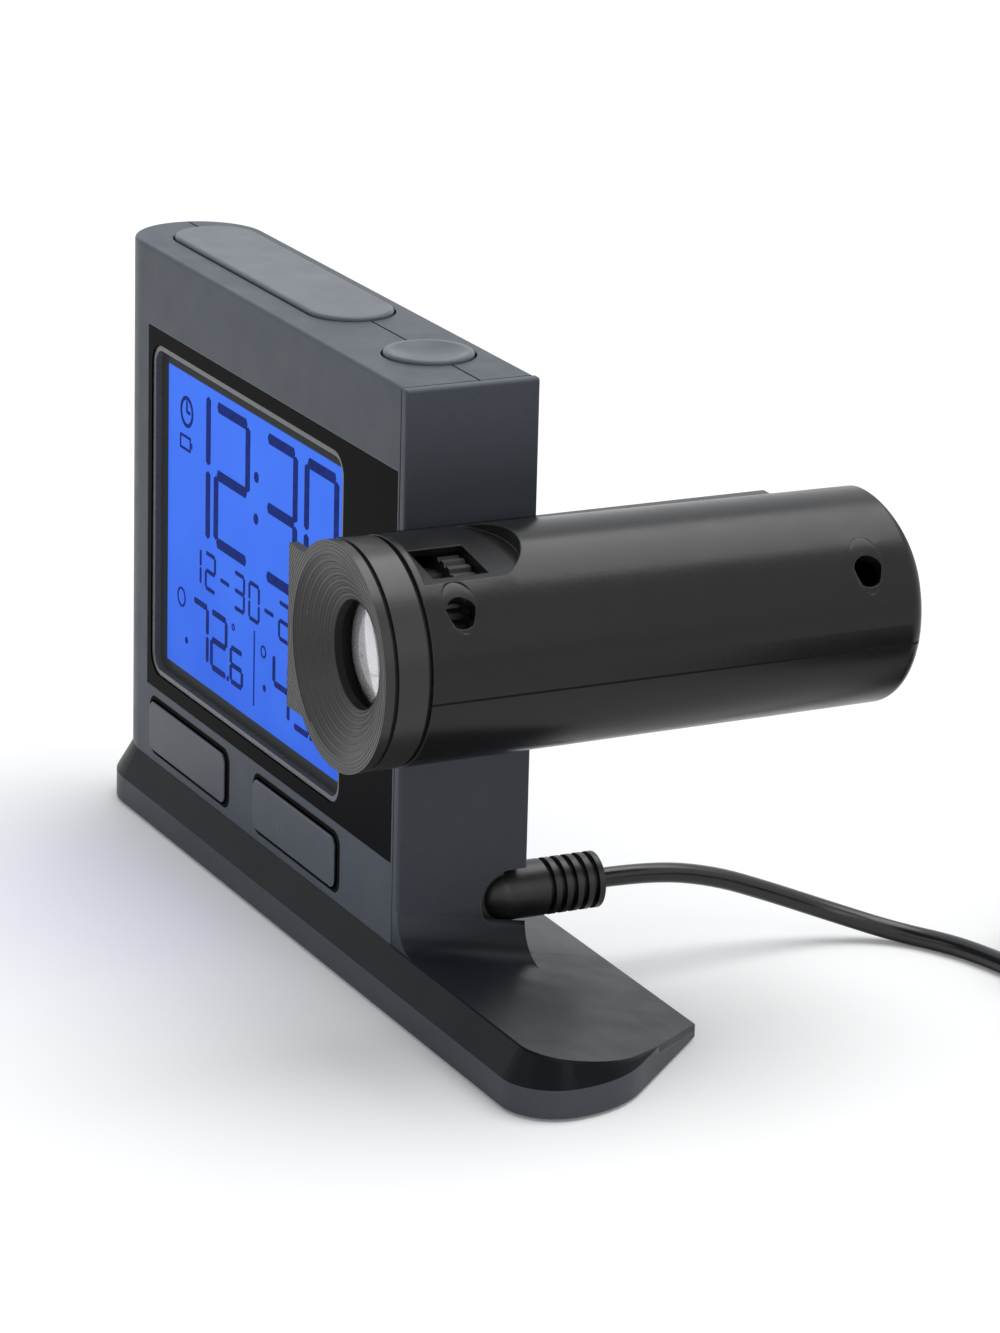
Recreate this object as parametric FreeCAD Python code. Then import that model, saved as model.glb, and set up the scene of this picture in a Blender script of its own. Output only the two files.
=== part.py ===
import FreeCAD
import Part
import math
import os

# Projection alarm clock, in millimetres.
# X runs to the right as the display is read, Y runs to the back, Z is up.
# The origin is the centre of the foot's outline, on the surface it stands on.

# Driving dimensions of the case
HEIGHT = 92.0
BODY_WIDTH = 108.0
BODY_DEPTH = 20.6
FRONT_HALF_DEPTH = 12.1
WALL = 1.8
FRONT_WALL = 2.6
SEAM_GAP = 0.3
EDGE_ROUND = 0.5
OVERRUN = 5.0

# Driving dimensions of the foot
FOOT_REACH = 48.0
FOOT_LIP = 2.6
FOOT_BEHIND = 13.8
FOOT_CREASE_HEIGHT = 9.2
FOOT_RIM_HEIGHT = 4.65
FOOT_BACK_HEIGHT = 2.4
FOOT_CORNER_RADIUS = 7.8
FOOT_SIDE_RADIUS = 18.0
FOOT_SIDE_TURN = 43.0
FOOT_SKIN = 1.0
FOOT_PLATE_THICKNESS = 1.0
FOOT_PLATE_INSET = 3.0
PAD_HEIGHT = 0.5
PAD_RECESS = 0.3
PAD_RADIUS = 4.0
PAD_FROM_EDGE = 7.8
PAD_FROM_END = 22.0
STRIP_WIDTH = 15.0
STRIP_FROM_END = 11.3
STRIP_FROM_FRONT = 5.0
STRIP_CORNER = 5.0
FOOT_SCREW_FROM_END = 22.0

# Driving dimensions of the side panel
PANEL_THICKNESS = 1.6
PANEL_FILLET = 5.5

# Driving dimensions of the display
WINDOW_SIDE_MARGIN = 2.4
WINDOW_BESIDE_FRAME = 1.4
WINDOW_ROUND_FRAME = 2.4
WINDOW_THICKNESS = 1.4
FRAME_FROM_LEFT = 15.4
FRAME_FROM_RIGHT = 20.7
FRAME_FROM_TOP = 14.7
FRAME_BOTTOM = 23.8
FRAME_CORNER = 3.5
FRAME_LINE = 0.9
FRAME_SINK = 0.25
GLASS_THICKNESS = 2.2
GLASS_MARGIN = 0.7
BACKLIGHT_THICKNESS = 2.6
BACKLIGHT_MARGIN = 2.4
BOARD_FRONT = 6.6
BOARD_THICKNESS = 1.2
BOARD_EDGE = 3.2

# Driving dimensions of the keys
KEYS_APART = 11.0
KEY_END_MARGIN = 0.5
KEY_HEIGHT = 8.0
KEY_CORNER = 1.5
KEY_CENTRE_HEIGHT = 15.1
KEY_GAP = 0.35
KEY_PROUD = 0.4            # how far the two front keys stand out of the front face
KEY_TRAVEL = 0.6
KEY_FLANGE = 1.0
KEY_FLANGE_THICKNESS = 0.6
SNOOZE_FROM_LEFT = 6.5
SNOOZE_FROM_SIDE = 38.6
SNOOZE_HALF_WIDTH = 6.5
SNOOZE_RISE = 0.6
ROUND_KEY_FROM_SIDE = 17.9
ROUND_KEY_RADIUS = 6.6
ROUND_KEY_DISH_RADIUS = 16.0
ROUND_KEY_DISH_DEPTH = 1.0
TOP_KEY_FROM_FRONT = 11.75
SWITCH_SIZE = 6.0
SWITCH_BODY = 1.7
SWITCH_PLUNGER_RADIUS = 1.5
TOP_SWITCH_DEPTH = 5.0
TOP_SWITCH_HEIGHT = 4.0

# Driving dimensions of the battery bay and its door
CELL_RADIUS = 5.25
CELL_LENGTH = 44.5
CELL_NIPPLE_RADIUS = 1.9
CELL_NIPPLE_LENGTH = 0.9
CELL_PITCH = 11.6
BAY_FROM_LEFT = 24.65
BAY_CENTRE_HEIGHT = 40.0
BAY_END_ROOM = 3.6
BAY_WALL = 1.0
DOOR_GAP = 0.4
DOOR_PIN_RADIUS = 0.6
DOOR_PIN_LENGTH = 1.2
DOOR_PIN_CLEARANCE = 0.06
DOOR_AXIS_RISE = 1.4
DOOR_GRIP_SHARE = 0.7
CONTACT_THICKNESS = 0.4
SPRING_RADIUS = 2.6

# Driving dimensions of the other inner pieces
PILLAR_RADIUS = 2.6
SCREW_RADIUS = 1.2
SCREW_HEAD_RADIUS = 2.2
SCREW_HEAD_HEIGHT = 1.4
SCREW_SLOT = 0.6
SCREW_SLOT_SHARE = 1.3
PILLAR_FROM_LEFT = 10.5
PILLAR_FROM_SIDE = 14.5
PILLAR_LOW = 26.5
PILLAR_FROM_TOP = 20.0
BUZZER_RADIUS = 6.0
BUZZER_HEIGHT = 3.4
BUZZER_FROM_LEFT = 16.1
ROD_RADIUS = 3.5
ROD_LENGTH = 52.0
ROD_FROM_LEFT = 53.4
ROD_ABOVE_BAY = 14.4
ROD_WINDING_RADIUS = 4.4
ROD_WINDING_LENGTH = 14.0
ROD_CLIP_WIDTH = 2.4

# Driving dimensions of the supply plug and its pocket
PLUG_RADIUS = 4.2
PLUG_PROUD = 0.3
PLUG_CENTRE_HEIGHT = 14.0
PLUG_FRONT = 14.1
PLUG_HEAD_LENGTH = 10.6
PLUG_RIB_LENGTH = 8.9
PLUG_RIBS = 5
PLUG_RIB_SINK = 0.8
PLUG_TIP_FROM_FRONT = 2.2
PLUG_TIP_RADIUS = 1.75
PLUG_TIP_LENGTH = 9.0
PLUG_TIP_BORE = 0.7
POCKET_CLEARANCE = 0.6
POCKET_WALL = 1.2
SOCKET_WALL = 1.6
SOCKET_PIN_RADIUS = 0.5
SOCKET_GAP = 0.15

# Driving dimensions of the arm
ARM_RADIUS = 16.2
ARM_TAIL_RADIUS = 15.6
ARM_WALL = 1.5
ARM_GAP = 1.2
ARM_WEB_HALF = 11.9
ARM_WEB_END_BACK = 9.5
ARM_PIVOT_FROM_FRONT = 13.7
ARM_PIVOT_HEIGHT = 60.4
LENS_REACH = 31.9
TAIL_REACH = 52.5
ARM_TAIL_ROUND = 2.4
ARM_PART_DROP = 3.1
CAP_LENGTH = 7.2
CAP_FLANGE = 1.4
CAP_GROOVE = 0.7
CAP_GROOVE_DEPTH = 0.8
CAP_SPIGOT = 2.4
CAP_FIT = 0.1
CAP_RIM = 1.5
DISH_DEPTH = 3.2
DISH_RIBS = 7
DISH_RIB_RISE = 0.35
CAP_OPENING = 7.6
CAP_FRONT_WALL = 1.2
FACET_TURN = 80.0
FACET_DISTANCE = 13.9
FACET_WALL = 1.0
FACET_HALF_WIDTH = 9.0
FACET_START = 8.2
FACET_END = 25.4
FOCUS_WINDOW_START = 10.3
FOCUS_WINDOW_LENGTH = 8.3
FOCUS_WINDOW_WIDTH = 8.8
FOCUS_WINDOW_SHIFT = 2.2
WHEEL_HUB_START = 10.6
WHEEL_HUB_RADIUS = 10.8
WHEEL_START = 15.0
WHEEL_LENGTH = 3.3
WHEEL_RADIUS = 12.6
WHEEL_RIDGES = 40
WHEEL_RIDGE_DEPTH = 0.5
BARREL_RADIUS = 8.8
BARREL_WALL = 1.4
BARREL_START = 6.2
BARREL_LENGTH = 14.0
BARREL_CLEARANCE = 0.3
LENS_RADIUS = 8.2
LENS_EDGE = 2.0
LENS_CROWN = 2.3
RIB_THICKNESS = 0.6
OPTIC_RADIUS = 9.0
OPTIC_WALL = 1.4
OPTIC_START = 24.0
OPTIC_LENGTH = 30.0
IMAGE_PLATE_SIZE = 9.6
IMAGE_PLATE_THICKNESS = 1.6
IMAGE_PLATE_START = 27.0
CONDENSER_START = 34.0
CONDENSER_EDGE = 2.0
CONDENSER_CROWN = 1.8
LED_RADIUS = 2.5
LED_LENGTH = 5.0
LED_BOARD_THICKNESS = 1.2
ARM_SCREW_OFFSET = 12.5
ARM_SCREW_NEAR = 12.4
ARM_SCREW_FAR_BACK = 8.8
ARM_WELL_RADIUS = 2.3
ARM_WELL_FLOOR = 3.0
ARM_BOSS_WALL = 1.0
ARM_BOSS_GAP = 0.1

# Driving dimensions of the pivot
SHAFT_RADIUS = 3.5
SHAFT_BORE = 2.0
SHAFT_FIT = 0.05
SHAFT_INNER_END = 7.6
SHAFT_HEAD_RADIUS = 6.0
SHAFT_HEAD_THICKNESS = 1.4
BUSH_WALL = 1.4
BUSH_FLANGE_RADIUS = 7.0
BUSH_FLANGE_THICKNESS = 0.6
BUSH_LENGTH = 4.0
PANEL_BOSS_WALL = 1.4
NUT_RADIUS = 6.2
NUT_THICKNESS = 2.0
SPRING_WASHER_THICKNESS = 0.8
PIVOT_PLAY = 0.2

# Driving dimensions of the cord, its coil and the wall adapter
CORD_DIAMETER = 3.0
CORD_BEND_SHARE = 0.45
COIL_MEAN_DIAMETERS = 12.0
COIL_PITCH = 3.5
COIL_TURNS_PER_LAYER = 3
COIL_LAYERS = 4
COIL_OUTER_TURNS = 1.25
COIL_RAMP_TURNS = 0.5
COIL_CENTRE_X = 60.0
COIL_CENTRE_Y = 100.0
COIL_START_DEGREES = -62.0
ADAPTER_LENGTH = 40.0
ADAPTER_WIDTH = 26.0
ADAPTER_HEIGHT = 28.0
ADAPTER_CORNER = 3.0
ADAPTER_FROM_COIL = 20.0
ADAPTER_CENTRE_Y = 86.4
CORD_LEAD_IN = 10.5
CORD_TAIL_IN = 7.0
ADAPTER_COLLAR_RADIUS = 3.4
ADAPTER_COLLAR_LENGTH = 9.0
BLADE_LENGTH = 16.0
BLADE_WIDTH = 6.3
BLADE_THICKNESS = 1.5
BLADE_SPACING = 12.7

# Places that follow from the driving dimensions
foot_width = FOOT_LIP + BODY_WIDTH + FOOT_REACH
foot_depth = FOOT_LIP + BODY_DEPTH + FOOT_BEHIND
side_x = foot_width / 2 - FOOT_REACH
face_y = FOOT_LIP - foot_depth / 2
back_y = face_y + BODY_DEPTH
part_y = face_y + FRONT_HALF_DEPTH
foot_back_y = foot_depth / 2
end_radius = BODY_DEPTH / 2
end_x = side_x - BODY_WIDTH + end_radius
end_y = face_y + end_radius
foot_fall = (FOOT_CREASE_HEIGHT - FOOT_BACK_HEIGHT) / (foot_back_y - face_y)
pivot_y = face_y + ARM_PIVOT_FROM_FRONT
arm_x = side_x + ARM_GAP + ARM_RADIUS
arm_front_y = pivot_y - LENS_REACH
arm_length = LENS_REACH + TAIL_REACH
web_x = side_x + ARM_GAP
arm_part_z = ARM_PIVOT_HEIGHT - ARM_PART_DROP
board_y = face_y + BOARD_FRONT
board_back_y = board_y + BOARD_THICKNESS
left_x = side_x - BODY_WIDTH
frame_width = BODY_WIDTH - FRAME_FROM_LEFT - FRAME_FROM_RIGHT
frame_height = HEIGHT - FRAME_FROM_TOP - FRAME_BOTTOM
frame_centre_x = left_x + FRAME_FROM_LEFT + frame_width / 2
frame_centre_z = FRAME_BOTTOM + frame_height / 2
window_left_x = left_x + FRAME_FROM_LEFT - WINDOW_BESIDE_FRAME
window_bottom = FRAME_BOTTOM - WINDOW_ROUND_FRAME
window_top = HEIGHT - FRAME_FROM_TOP + WINDOW_ROUND_FRAME
key_width = (frame_width - KEYS_APART) / 2 - KEY_END_MARGIN
left_key_x = frame_centre_x - (KEYS_APART + key_width) / 2
right_key_x = frame_centre_x + (KEYS_APART + key_width) / 2
snooze_left_x = left_x + SNOOZE_FROM_LEFT
snooze_right_x = side_x - SNOOZE_FROM_SIDE
round_key_x = side_x - ROUND_KEY_FROM_SIDE
plug_x = side_x + PLUG_PROUD - PLUG_RADIUS
plug_front_y = face_y + PLUG_FRONT
plug_end_y = plug_front_y + PLUG_HEAD_LENGTH + PLUG_RIB_LENGTH
pocket_radius = PLUG_RADIUS + POCKET_CLEARANCE
pocket_floor_x = plug_x - pocket_radius
inner_right_x = side_x - PANEL_THICKNESS - SEAM_GAP
cord_radius = CORD_DIAMETER / 2
pillar_left_x = left_x + PILLAR_FROM_LEFT
pillar_right_x = side_x - PILLAR_FROM_SIDE
pillar_places = [(pillar_left_x, KEY_CENTRE_HEIGHT), (pillar_left_x, HEIGHT - BOARD_EDGE * 3),
                 (pillar_right_x, PILLAR_LOW), (pillar_right_x, HEIGHT - PILLAR_FROM_TOP)]

X = FreeCAD.Vector(1, 0, 0)
Y = FreeCAD.Vector(0, 1, 0)
Z = FreeCAD.Vector(0, 0, 1)
far = 4 * (BODY_WIDTH + FOOT_REACH)


def at(x, y, z):
    return FreeCAD.Vector(x, y, z)


def block(x0, x1, y0, y1, z0, z1):
    return Part.makeBox(x1 - x0, y1 - y0, z1 - z0, at(x0, y0, z0))


def rod(start, direction, radius, length):
    return Part.makeCylinder(radius, length, start, direction)


def tube(start, direction, outer, inner, length):
    return rod(start, direction, outer, length).cut(rod(start, direction, inner, length))


def line(a, b):
    return Part.LineSegment(a, b).toShape()


def arc(centre, radius, start_degrees, end_degrees, across=X, up=Y):
    def point(degrees):
        turn = math.radians(degrees)
        return centre + across * (radius * math.cos(turn)) + up * (radius * math.sin(turn))
    middle = (start_degrees + end_degrees) / 2
    return Part.Arc(point(start_degrees), point(middle), point(end_degrees)).toShape()


def face_of(edges):
    return Part.Face(Part.Wire(Part.__sortEdges__(edges)))


def polygon(points):
    return Part.Face(Part.makePolygon(points + [points[0]]))


def rounded_rectangle(centre, width, height, radius, across, up):
    w = width / 2 - radius
    h = height / 2 - radius
    edges = []
    for sx, sy, turn in ((1, 1, 0), (-1, 1, 90), (-1, -1, 180), (1, -1, 270)):
        corner = centre + across * (sx * w) + up * (sy * h)
        edges.append(arc(corner, radius, turn, turn + 90, across, up))
    right = across * (w + radius)
    top = up * (h + radius)
    edges.append(line(centre + right - up * h, centre + right + up * h))
    edges.append(line(centre + top + across * w, centre + top - across * w))
    edges.append(line(centre - right + up * h, centre - right - up * h))
    edges.append(line(centre - top - across * w, centre - top + across * w))
    return face_of(edges)


def stadium(left, right, centre_y, z, half_width):
    a = at(left + half_width, centre_y, z)
    b = at(right - half_width, centre_y, z)
    side = Y * half_width
    return face_of([arc(a, half_width, 90, 270), arc(b, half_width, -90, 90),
                    line(a - side, b - side), line(a + side, b + side)])


def turned(profile, centre, axis):
    return profile.revolve(centre, axis, 360)


def save(name, shape):
    solids = shape.Solids
    assert solids and all(s.isValid() for s in solids), name
    result = solids[0] if len(solids) == 1 else Part.makeCompound(solids)
    result.exportStep("parts/" + name + ".step")
    return result


# The case

def body_outline(inset):
    radius = end_radius - inset
    front = face_y + inset
    back = back_y - inset
    right = inner_right_x - inset
    centre = at(end_x, end_y, 0)
    return face_of([arc(centre, radius, 90, 270),
                    line(at(end_x, front, 0), at(right, front, 0)),
                    line(at(right, front, 0), at(right, back, 0)),
                    line(at(right, back, 0), at(end_x, back, 0))])


def below_foot_top(drop):
    """Everything under the sloping top of the foot, lowered by drop."""
    def height(y):
        return FOOT_CREASE_HEIGHT - (y - face_y) * foot_fall - drop
    front = face_y - far / 4
    back = foot_back_y + far / 4
    side = polygon([at(-far, front, -far), at(-far, back, -far),
                    at(-far, back, height(back)), at(-far, front, height(front))])
    return side.extrude(X * (2 * far))


def case_shell():
    outer = body_outline(0).extrude(Z * HEIGHT)
    top_edges = [e for e in outer.Edges
                 if e.BoundBox.ZMin > HEIGHT - EDGE_ROUND and e.BoundBox.XMin < inner_right_x - SEAM_GAP]
    outer = outer.makeFillet(EDGE_ROUND, top_edges)
    cavity = body_outline(WALL).extrude(Z * (HEIGHT - WALL))
    cavity = cavity.cut(block(-far, far, face_y, face_y + FRONT_WALL, 0, HEIGHT))
    return outer.cut(cavity).cut(below_foot_top(0))


def pocket_outline(grow):
    """Round-fronted slot for the plug, open to the back."""
    radius = pocket_radius + grow
    centre = at(0, plug_front_y + PLUG_RADIUS, PLUG_CENTRE_HEIGHT)
    end = back_y
    up = Z * radius
    back = Y * (end - centre.y)
    return face_of([arc(centre, radius, 90, 270, Y, Z), line(centre + up, centre + back + up),
                    line(centre + back + up, centre + back - up), line(centre + back - up, centre - up)])


def pocket_block(grow, depth):
    face = pocket_outline(grow)
    face.translate(X * side_x)
    return face.extrude(X * -depth)


pocket_depth = side_x - pocket_floor_x
tray_depth = pocket_depth + POCKET_WALL


def top_openings():
    z = HEIGHT - WALL - OVERRUN
    y = face_y + TOP_KEY_FROM_FRONT
    bar = stadium(snooze_left_x - KEY_GAP, snooze_right_x + KEY_GAP, y, z,
                  SNOOZE_HALF_WIDTH + KEY_GAP).extrude(Z * (3 * OVERRUN))
    button = rod(at(round_key_x, y, z), Z, ROUND_KEY_RADIUS + KEY_GAP, 3 * OVERRUN)
    return bar.fuse(button)


def pivot_hole():
    radius = SHAFT_RADIUS + BUSH_WALL + PANEL_BOSS_WALL + SEAM_GAP
    return rod(at(side_x - BUSH_LENGTH - OVERRUN, pivot_y, ARM_PIVOT_HEIGHT), X, radius,
               BUSH_LENGTH + 2 * OVERRUN)


def plug_notch():
    notch = pocket_block(POCKET_WALL + SEAM_GAP, tray_depth + SEAM_GAP)
    return notch.fuse(notch.translated(Y * WALL)).fuse(notch.translated(Y * OVERRUN))


def front_housing(shell):
    body = shell.common(block(-far, far, face_y - OVERRUN, part_y, 0, HEIGHT + OVERRUN))
    for x, height in pillar_places:
        start = at(x, face_y + FRONT_WALL, height)
        pillar = rod(start, Y, PILLAR_RADIUS, part_y - start.y)
        body = body.fuse(pillar)
    for x, height in pillar_places:
        start = at(x, part_y - OVERRUN, height)
        body = body.cut(rod(start, Y, SCREW_RADIUS, OVERRUN))
    recess_right = side_x - WINDOW_SIDE_MARGIN
    body = body.cut(block(window_left_x, recess_right, face_y - OVERRUN,
                          face_y + WINDOW_THICKNESS, window_bottom, window_top))
    opening = rounded_rectangle(at(frame_centre_x, face_y - OVERRUN, frame_centre_z),
                                frame_width - GLASS_MARGIN, frame_height - GLASS_MARGIN,
                                FRAME_CORNER, X, Z).extrude(Y * (FRONT_WALL + 2 * OVERRUN))
    body = body.cut(opening)
    for x in (left_key_x, right_key_x):
        hole = rounded_rectangle(at(x, face_y - OVERRUN, KEY_CENTRE_HEIGHT),
                                 key_width + 2 * KEY_GAP, KEY_HEIGHT + 2 * KEY_GAP,
                                 KEY_CORNER + KEY_GAP, X, Z)
        body = body.cut(hole.extrude(Y * (FRONT_WALL + 2 * OVERRUN)))
    return body.cut(top_openings()).cut(pivot_hole()).cut(plug_notch())


bay_width = CELL_LENGTH + 2 * BAY_END_ROOM
bay_height = CELL_PITCH + 2 * CELL_RADIUS + BAY_WALL
bay_x = left_x + BAY_FROM_LEFT + bay_width / 2
rod_x = left_x + ROD_FROM_LEFT
rod_y = (board_back_y + back_y - WALL) / 2
rod_z = BAY_CENTRE_HEIGHT + bay_height / 2 + ROD_ABOVE_BAY


def bay_block(grow, y0, y1):
    return block(bay_x - bay_width / 2 - grow, bay_x + bay_width / 2 + grow, y0, y1,
                 BAY_CENTRE_HEIGHT - bay_height / 2 - grow, BAY_CENTRE_HEIGHT + bay_height / 2 + grow)


def door_pin_line(radius, extra):
    reach = bay_width / 2 + DOOR_PIN_LENGTH + extra
    start = at(bay_x - reach, back_y - WALL / 2, BAY_CENTRE_HEIGHT - bay_height / 2 + DOOR_AXIS_RISE)
    return rod(start, X, radius, 2 * reach)


def rear_housing(shell):
    body = shell.common(block(-far, far, part_y, back_y + OVERRUN, 0, HEIGHT + OVERRUN))
    for x, height in pillar_places:
        start = at(x, part_y, height)
        body = body.fuse(rod(start, Y, PILLAR_RADIUS, back_y - WALL - part_y))
    frame = bay_block(BAY_WALL, board_back_y + SEAM_GAP, back_y - WALL)
    body = body.fuse(frame)
    body = body.cut(bay_block(0, board_back_y, back_y + OVERRUN))
    body = body.cut(door_pin_line(DOOR_PIN_RADIUS + DOOR_PIN_CLEARANCE, DOOR_GAP))
    for x, height in pillar_places:
        start = at(x, part_y - OVERRUN, height)
        body = body.cut(rod(start, Y, SCREW_RADIUS + CAP_FIT, BODY_DEPTH))
        head = at(x, back_y - SCREW_HEAD_HEIGHT, height)
        body = body.cut(rod(head, Y, SCREW_HEAD_RADIUS + CAP_FIT, OVERRUN))
    for side in (-1, 1):
        x = rod_x + side * (ROD_LENGTH / 2 - ROD_CLIP_WIDTH)
        clip = block(x - ROD_CLIP_WIDTH / 2, x + ROD_CLIP_WIDTH / 2, rod_y, back_y - WALL,
                     rod_z - ROD_RADIUS - WALL, rod_z + ROD_RADIUS + WALL)
        body = body.fuse(clip)
    body = body.cut(rod(at(rod_x - ROD_LENGTH / 2, rod_y, rod_z), X,
                        ROD_RADIUS, ROD_LENGTH))
    return body.cut(top_openings()).cut(pivot_hole()).cut(plug_notch())


# The foot and the side panel

def foot_outline(inset):
    corner = at(foot_width / 2 - FOOT_CORNER_RADIUS, face_y - FOOT_LIP + FOOT_CORNER_RADIUS, 0)
    corner_radius = FOOT_CORNER_RADIUS - inset
    side = at(foot_width / 2 - FOOT_SIDE_RADIUS, corner.y, 0)
    side_radius = FOOT_SIDE_RADIUS - inset
    left = at(end_x, end_y, 0)
    left_radius = end_radius + FOOT_LIP - inset
    turn = math.radians(FOOT_SIDE_TURN)
    back = foot_back_y - inset
    right_end = side + at(math.cos(turn), math.sin(turn), 0) * side_radius
    left_end = left + at(-math.cos(turn), math.sin(turn), 0) * left_radius
    lean = math.tan(turn)
    right_back = at(right_end.x - (back - right_end.y) * lean, back, 0)
    left_back = at(left_end.x + (back - left_end.y) * lean, back, 0)
    front = face_y - FOOT_LIP + inset
    edges = [line(at(end_x, front, 0), at(corner.x, front, 0)),
             arc(corner, corner_radius, -90, 0),
             arc(side, side_radius, 0, FOOT_SIDE_TURN),
             line(right_end, right_back),
             line(right_back, left_back),
             line(left_back, left_end),
             arc(left, left_radius, 180 - FOOT_SIDE_TURN, 270)]
    return Part.Wire(edges)


def foot_block():
    """Rim wall, then a steep band that leans in above it, cut off by the sloping top."""
    rim = Part.Face(foot_outline(0)).extrude(Z * FOOT_RIM_HEIGHT)
    low = foot_outline(0)
    low.translate(Z * FOOT_RIM_HEIGHT)
    lean = FOOT_LIP / (FOOT_CREASE_HEIGHT - FOOT_RIM_HEIGHT)
    rise = FOOT_CREASE_HEIGHT - FOOT_RIM_HEIGHT + FOOT_LIP
    high = foot_outline(rise * lean)
    high.translate(Z * (FOOT_RIM_HEIGHT + rise))
    band = Part.makeLoft([low, high], True, True)
    solid = rim.fuse(band).removeSplitter()
    solid = solid.common(below_foot_top(0))
    return solid.common(block(-far, far, -far, far, PAD_HEIGHT, HEIGHT))


def foot_top_skin(foot):
    tops = [f for f in foot.Faces if f.normalAt(0, 0).z > 0 and abs(f.normalAt(0, 0).x) < 0.01
            and f.BoundBox.YLength > BODY_DEPTH]
    top = max(tops, key=lambda f: f.Area)
    skin = top.extrude(Z * -FOOT_SKIN)
    return skin.common(block(side_x - PANEL_THICKNESS, far, -far, far, 0, HEIGHT))


def side_panel(skin):
    plate = block(side_x - PANEL_THICKNESS, side_x, face_y, back_y, 0, HEIGHT)
    edges = [e for e in plate.Edges if e.BoundBox.XMin > side_x - EDGE_ROUND and
             (e.BoundBox.ZMin > HEIGHT - EDGE_ROUND or e.BoundBox.YMax < face_y + EDGE_ROUND)]
    plate = plate.makeFillet(EDGE_ROUND, edges)
    plate = plate.cut(below_foot_top(FOOT_SKIN))
    height = FOOT_CREASE_HEIGHT
    sink = FOOT_SKIN / 2
    corner = at(side_x + PANEL_FILLET, face_y, height + PANEL_FILLET)
    profile = face_of([arc(corner, PANEL_FILLET, 180, 270, X, Z),
                       line(at(corner.x, face_y, height), at(corner.x, face_y, height - sink)),
                       line(at(corner.x, face_y, height - sink), at(side_x - sink, face_y, height - sink)),
                       line(at(side_x - sink, face_y, height - sink), at(side_x - sink, face_y, corner.z)),
                       line(at(side_x - sink, face_y, corner.z), at(side_x, face_y, corner.z))])
    cove = profile.extrude(at(0, BODY_DEPTH, -BODY_DEPTH * foot_fall))
    panel = plate.fuse(skin).fuse(cove).removeSplitter()
    tray = pocket_block(POCKET_WALL, tray_depth).cut(block(-far, far, -far, far, 0, PAD_HEIGHT))
    boss = rod(at(side_x - BUSH_LENGTH, pivot_y, ARM_PIVOT_HEIGHT), X,
               SHAFT_RADIUS + BUSH_WALL + PANEL_BOSS_WALL, BUSH_LENGTH)
    panel = panel.fuse(tray).fuse(boss)
    panel = panel.cut(pocket_block(0, pocket_depth))
    panel = panel.cut(pocket_block(0, pocket_depth).translated(Y * OVERRUN))
    panel = panel.cut(rod(at(side_x - far, pivot_y, ARM_PIVOT_HEIGHT), X, SHAFT_RADIUS + BUSH_WALL, 2 * far))
    hole = at(pocket_floor_x - tray_depth, plug_front_y + PLUG_TIP_FROM_FRONT, PLUG_CENTRE_HEIGHT)
    return panel.cut(rod(hole, X, PLUG_TIP_RADIUS + KEY_GAP, tray_depth))


def foot_cavity():
    wire = foot_outline(FOOT_PLATE_INSET + FOOT_PLATE_THICKNESS)
    low = PAD_HEIGHT + FOOT_PLATE_THICKNESS
    space = Part.Face(wire).extrude(Z * FOOT_CREASE_HEIGHT)
    space = space.common(below_foot_top(FOOT_SKIN + WALL))
    return space.common(block(-far, far, -far, far, low, HEIGHT))


def foot_plate_block(grow):
    outline = Part.Face(foot_outline(FOOT_PLATE_INSET - grow))
    outline.translate(Z * PAD_HEIGHT)
    plate = outline.extrude(Z * FOOT_PLATE_THICKNESS)
    return plate.common(block(-far, far, -far, back_y - WALL + grow, 0, HEIGHT))


def pads():
    """One long rubber strip under the front half of the foot and two round pads at its back."""
    height = PAD_HEIGHT + PAD_RECESS
    length = foot_width - 2 * STRIP_FROM_END
    middle = at(0, face_y - FOOT_LIP + STRIP_FROM_FRONT + STRIP_WIDTH / 2, 0)
    strip = rounded_rectangle(middle, length, STRIP_WIDTH, STRIP_CORNER, X, Y).extrude(Z * height)
    back = foot_back_y - PAD_FROM_EDGE
    end = foot_width / 2 - PAD_FROM_END
    return Part.makeCompound([strip, rod(at(-end, back, 0), Z, PAD_RADIUS, height),
                              rod(at(end, back, 0), Z, PAD_RADIUS, height)])


def foot_screw_places():
    y = (face_y + back_y) / 2 - WALL
    return [(FOOT_SCREW_FROM_END - foot_width / 2, y), (bay_x, y), (pillar_right_x, y),
            (foot_width / 2 - FOOT_SCREW_FROM_END, y)]


def screw(start, direction, length):
    head = rod(start, direction, SCREW_HEAD_RADIUS, SCREW_HEAD_HEIGHT)
    shank = rod(start, direction, SCREW_RADIUS, length)
    across = X if abs(direction.x) < 0.5 else Y
    other = direction.cross(across)
    slot_length = SCREW_HEAD_RADIUS * SCREW_SLOT_SHARE
    slot = None
    for a, b in ((across, other), (other, across)):
        corner = start - a * (slot_length / 2) - b * (SCREW_SLOT / 2)
        bar = Part.Face(Part.makePolygon([corner, corner + a * slot_length,
                                          corner + a * slot_length + b * SCREW_SLOT,
                                          corner + b * SCREW_SLOT, corner]))
        bar = bar.extrude(direction * SCREW_SLOT)
        slot = bar if slot is None else slot.fuse(bar)
    return head.fuse(shank).cut(slot)


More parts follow.
